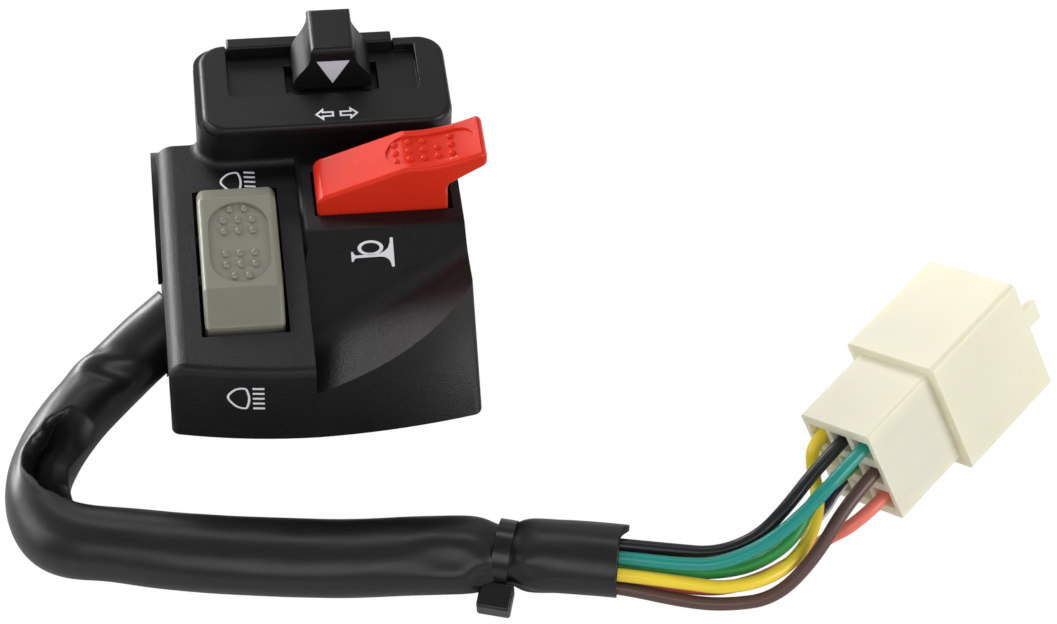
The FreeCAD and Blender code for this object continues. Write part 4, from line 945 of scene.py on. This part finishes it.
class SleeveShape:
    """Soft sleeving: fuller along the front, drawn in at the tie, creased inside the fold."""

    def __init__(self, points):
        self.points = points
        self.step = run_length(points) / MM / (len(points) - 1)
        front_run = [k for k, p in enumerate(points) if p.y / MM < FRONT_RUN_Y]
        self.tie = min(front_run, key=lambda k: abs(points[k].x / MM - TIE_X)) * self.step
        self.first = len(points) - 1 - round(OPEN_END_LENGTH / self.step)

    def girth(self, s):
        """Half width and half height at s millimetres along."""
        front = 1.0 / (1.0 + math.exp(-(s - FRONT_FROM) / FRONT_EASE))
        past_tie = s - self.tie
        near_end = from_0_to_1(past_tie / END_EASE)
        reach = TIE_REACH_BEFORE if past_tie < 0 else TIE_REACH_AFTER
        draw = wave(past_tie, 0.0, reach) * TIE_DRAW
        wide = SLEEVE_RADIUS + FRONT_WIDER * front - END_NARROWER * near_end - draw
        high = SLEEVE_RADIUS - FRONT_LOWER * front - END_LOWER * near_end - TIE_DRAW_HEIGHT * draw
        near = min(1.0, s / EXIT_EASE)
        return SLEEVE_RADIUS * (1 - near) + wide * near, high

    def fold(self, s, angle):
        """The kink at the turn: the skin folds in under a ragged lip and rises to the inner side."""
        rise = from_0_to_1((s - FOLD_START) / FOLD_EASE) * from_0_to_1((FOLD_END - s) / FOLD_EASE)
        if rise == 0.0:
            return 0.0
        past_lip = interpolated(s, LIP_PLACES) - math.degrees(angle)
        if angle >= math.radians(270):
            past_lip += 360
        inside = past_lip + LIP_TEAR * noise.noise(Vector((s / LIP_TEAR_LENGTH, 0.3, 0.0)))
        if inside < 0.0:
            return LIP_HUMP * rise * wave(past_lip, -LIP_HUMP_BACK, LIP_HUMP_WIDTH)
        edge = min(1.0, inside / LIP_EDGE)
        return -FOLD_DEPTH * rise * edge * from_0_to_1(1.0 - past_lip / FOLD_SPREAD) ** 0.8

    def relief(self, s, angle):
        """Creases and dents in millimetres, outwards."""
        x, y = math.cos(angle), math.sin(angle)
        broad = noise.noise(Vector((x * 1.3, y * 1.3, s / 13.0)))
        fine = noise.noise(Vector((x * 2.6 + 5, y * 2.6, s / 6.0)))
        out = BROAD_WAVES * broad + FINE_WAVES * fine + self.fold(s, angle)
        slanted = s - SLANT_START - turn_from(angle, 90.0) * SLANT
        past_tie = s - self.tie
        out += creased(SLANTED_CREASES, slanted, angle)
        out += creased(TURN_CREASES, s, angle)
        out += creased(TIE_CREASES, past_tie, angle)
        pleats = math.sin(PLEATS * angle + 1.2 + 1.5 * math.sin(2 * angle))
        beside_tie = wave(past_tie, -2.8, 2.6) + wave(past_tie, 2.6, 2.2)
        out += PLEAT_HEIGHT * beside_tie * pleats
        plain_at_exit = min(1.0, s / EXIT_PLAIN)
        plain_under_tie = 1.0 - wave(past_tie, 0.0, TIE_HALF_WIDTH)
        return out * plain_at_exit * plain_under_tie

    def __call__(self, k, angle):
        s = k * self.step
        wide, high = self.girth(s)
        out = self.relief(s, angle)
        side = (wide + out) * math.cos(angle)
        floor = FLOOR_Z + ABOVE_FLOOR - self.points[k].z / MM
        up = max((high + out) * math.sin(angle), floor)
        ahead = 0.0
        if k == len(self.points) - 1:
            corner = CUT_CORNER * wave(turn_from(angle, 48.0), 0.0, 24.0)
            ahead = corner - CUT_SLANT * math.sin(angle) - CUT_BACK
        return side * MM, up * MM, ahead * MM


class SleeveHollow:
    """The inside of the sleeve's open end, one wall in from the outside."""

    def __init__(self, shape):
        self.shape = shape
        self.first = shape.first

    def __call__(self, k, angle):
        side, up, ahead = self.shape(k, angle)
        reach = math.hypot(side, up)
        share = max(0.1, (reach - SLEEVE_WALL * MM) / reach)
        return side * share, up * share, ahead


def mark_fold(mesh, shape):
    """How deep each point of the skin lies in the fold, from 0 to 1, for the painted shade in its
    finish.
    """
    depths = mesh.attributes.new("painted_fold_shade", "FLOAT", "POINT").data
    for k in range(len(shape.points)):
        for n in range(SLEEVE_RING):
            fold = shape.fold(k * shape.step, 2 * math.pi * n / SLEEVE_RING)
            depths[k * SLEEVE_RING + n].value = from_0_to_1(-fold / FOLD_PAINTED_SHADE_DEPTH)


def make_sleeve():
    points = even_points(curve_points(SLEEVE_ROUTE), step_mm=0.4)
    shape = SleeveShape(points)
    mesh = tube_mesh("cable_sleeving", points, SLEEVE_RING, shape, SleeveHollow(shape))
    mark_fold(mesh, shape)
    sleeve = add_piece("cable_sleeving", mesh, "root", FINISHES["sleeve_black"])
    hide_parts("cable_sleeve")
    return sleeve, points


def connector_point(x, y, z):
    return CONNECTOR_AT + CONNECTOR_ACROSS * x + CONNECTOR_DOWN * y + CONNECTOR_INWARDS * z


def wire_route(colour):
    """Starts inside the sleeve's open end and finishes inside the wire's own cell."""
    back, up = WIRE_STARTS[colour]
    start = SLEEVE_END + SLEEVE_SIDE * back + Vector((0, 0, up))
    column, row = WIRE_CELLS[colour]
    x, y = column * CELL_PITCH[0], row * CELL_PITCH[1]
    straight = SHORT_STRAIGHT if colour in ("yellow", "green", "blue") else LONG_STRAIGHT
    route = [start - SLEEVE_ALONG * WIRE_IN_SLEEVE, start + SLEEVE_ALONG * WIRE_PAST_SLEEVE]
    route += [Vector(p) for p in WIRE_MIDDLES[colour]]
    return route + [connector_point(x, y, -straight), connector_point(x, y, WIRE_IN_CELL)]


def round_wire(k, angle):
    """The wire's skin, the same at every point k."""
    return WIRE_RADIUS * MM * math.cos(angle), WIRE_RADIUS * MM * math.sin(angle), 0.0


def make_wires():
    """The striped wire is a tube with a UV map for its stripe; the others are curves."""
    for colour in WIRE_STARTS:
        route = wire_route(colour)
        slot = "wire_" + colour
        name = colour + "_wire"
        points = curve_points(route)
        path = None
        if colour == "blue":
            path = even_points(points, step_mm=0.6)
            mesh = tube_mesh(name, path, ring_count=20, offset=round_wire)
            wire = add_piece(name, mesh, "root", FINISHES[slot])
        else:
            wire = nurbs_curve(name, route, WIRE_RADIUS)
            wire.data.materials.append(FINISHES[slot])
            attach(wire, "root")
        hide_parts("wire_" + colour)


def make_harness():
    sleeve, points = make_sleeve()
    tie = moulded("zip_tie", width_mm=0.2)
    connector = moulded("connector_housing", width_mm=0.45, segments=3)
    make_wires()


# Set: floor, room, lights and camera

FLOOR_SIZE_M = 6.0
FLOOR_GAP = 0.05
FLOOR_WHITE = 0.86
FLOOR_GLOW = 1.04
FLOOR_GLOW_SHARE = 0.94
ROOM_LIGHT = 0.27
LIT_POINT = (0.01, -0.03, 0.0)

# Places and sizes are in metres, power in watts
Light = namedtuple("Light", "name place size power")
LIGHTS = [
    Light("back_strip", (0.05, 0.85, 0.43), (1.1, 0.34), 0.5),
    Light("facet_lamp", (-0.29, 0.8, 0.44), (0.3, 0.2), 1.7),
    Light("high_strip", (0.12, 0.36, 0.84), (0.7, 0.14), 1.0),
    Light("left_panel", (-0.7, -0.05, 0.3), (0.45, 0.45), 2.2),
    Light("right_panel", (0.75, -0.45, 0.35), (0.5, 0.5), 3.8),
    Light("front_panel", (-0.1, -0.85, 0.6), (0.7, 0.45), 2.0),
    Light("low_left", (-0.6, 0.6, 0.14), (0.5, 0.2), 6.6),
]


def make_floor():
    """White for the camera, and matt for the light that it throws back."""
    below = (FLOOR_Z - FLOOR_GAP) * MM
    bpy.ops.mesh.primitive_plane_add(size=FLOOR_SIZE_M, location=(0, 0, below))
    floor = bpy.context.object
    floor.name = "floor"
    material = bpy.data.materials.new("floor_white")
    material.use_nodes = True
    tree = material.node_tree
    shader = tree.nodes["Principled BSDF"]
    shader.inputs["Base Color"].default_value = (FLOOR_WHITE, FLOOR_WHITE, FLOOR_WHITE, 1)
    shader.inputs["Roughness"].default_value = 0.9
    glow = tree.nodes.new("ShaderNodeEmission")
    glow.inputs["Strength"].default_value = FLOOR_GLOW
    seen = tree.nodes.new("ShaderNodeLightPath")
    share = tree.nodes.new("ShaderNodeMath")
    share.operation = "MULTIPLY"
    share.inputs[1].default_value = FLOOR_GLOW_SHARE
    mix = tree.nodes.new("ShaderNodeMixShader")
    tree.links.new(seen.outputs["Is Camera Ray"], share.inputs[0])
    tree.links.new(share.outputs[0], mix.inputs[0])
    tree.links.new(shader.outputs[0], mix.inputs[1])
    tree.links.new(glow.outputs[0], mix.inputs[2])
    tree.links.new(mix.outputs[0], tree.nodes["Material Output"].inputs["Surface"])
    floor.data.materials.append(material)


def make_world():
    """White behind everything for the camera, and a dim white room for the light."""
    world = bpy.data.worlds.new("studio")
    bpy.context.scene.world = world
    world.use_nodes = True
    tree = world.node_tree
    room = tree.nodes["Background"]
    room.inputs["Color"].default_value = (1, 1, 1, 1)
    room.inputs["Strength"].default_value = ROOM_LIGHT
    backdrop = tree.nodes.new("ShaderNodeBackground")
    backdrop.inputs["Strength"].default_value = 1.0
    seen = tree.nodes.new("ShaderNodeLightPath")
    mix = tree.nodes.new("ShaderNodeMixShader")
    tree.links.new(seen.outputs["Is Camera Ray"], mix.inputs[0])
    tree.links.new(room.outputs[0], mix.inputs[1])
    tree.links.new(backdrop.outputs[0], mix.inputs[2])
    tree.links.new(mix.outputs[0], tree.nodes["World Output"].inputs["Surface"])


def make_lights():
    """Soft lamps, all turned to the object."""
    for light in LIGHTS:
        data = bpy.data.lights.new(light.name, "AREA")
        data.shape = "RECTANGLE"
        data.size, data.size_y = light.size
        data.energy = light.power
        lamp = bpy.data.objects.new(light.name, data)
        bpy.context.scene.collection.objects.link(lamp)
        lamp.location = light.place
        lamp.rotation_mode = "QUATERNION"
        towards = Vector(LIT_POINT) - Vector(light.place)
        lamp.rotation_quaternion = towards.to_track_quat("-Z", "Y")


def make_camera():
    data = bpy.data.cameras.new("camera")
    data.sensor_width = SENSOR_MM
    data.sensor_fit = "HORIZONTAL"
    data.lens = FOCAL_PX * SENSOR_MM / PHOTO_WIDTH_PX
    data.clip_start, data.clip_end = 0.01, 20.0
    camera = bpy.data.objects.new("camera", data)
    bpy.context.scene.collection.objects.link(camera)
    down_angle, yaw, roll = [math.radians(v) for v in (LOOK_DOWN, LOOK_YAW, LOOK_ROLL)]
    forward = Vector((math.sin(yaw) * math.cos(down_angle), math.cos(yaw) * math.cos(down_angle),
                      -math.sin(down_angle)))
    level = Vector((math.cos(yaw), -math.sin(yaw), 0.0))
    below = forward.cross(level)
    right = level * math.cos(roll) + below * math.sin(roll)
    under = below * math.cos(roll) - level * math.sin(roll)
    turn = Matrix((right, -under, -forward)).transposed().to_4x4()
    camera.matrix_world = Matrix.Translation(metres(*EYE)) @ turn
    bpy.context.scene.camera = camera


def main():
    bpy.context.scene.view_settings.view_transform = "Standard"
    dress_nodes()
    make_camera()
    make_floor()
    make_world()
    make_lights()
    front, plate = make_housings()
    knob = make_knob()
    make_rocker()
    make_horn_lever()
    make_symbols(front, plate, knob)
    make_harness()


main()
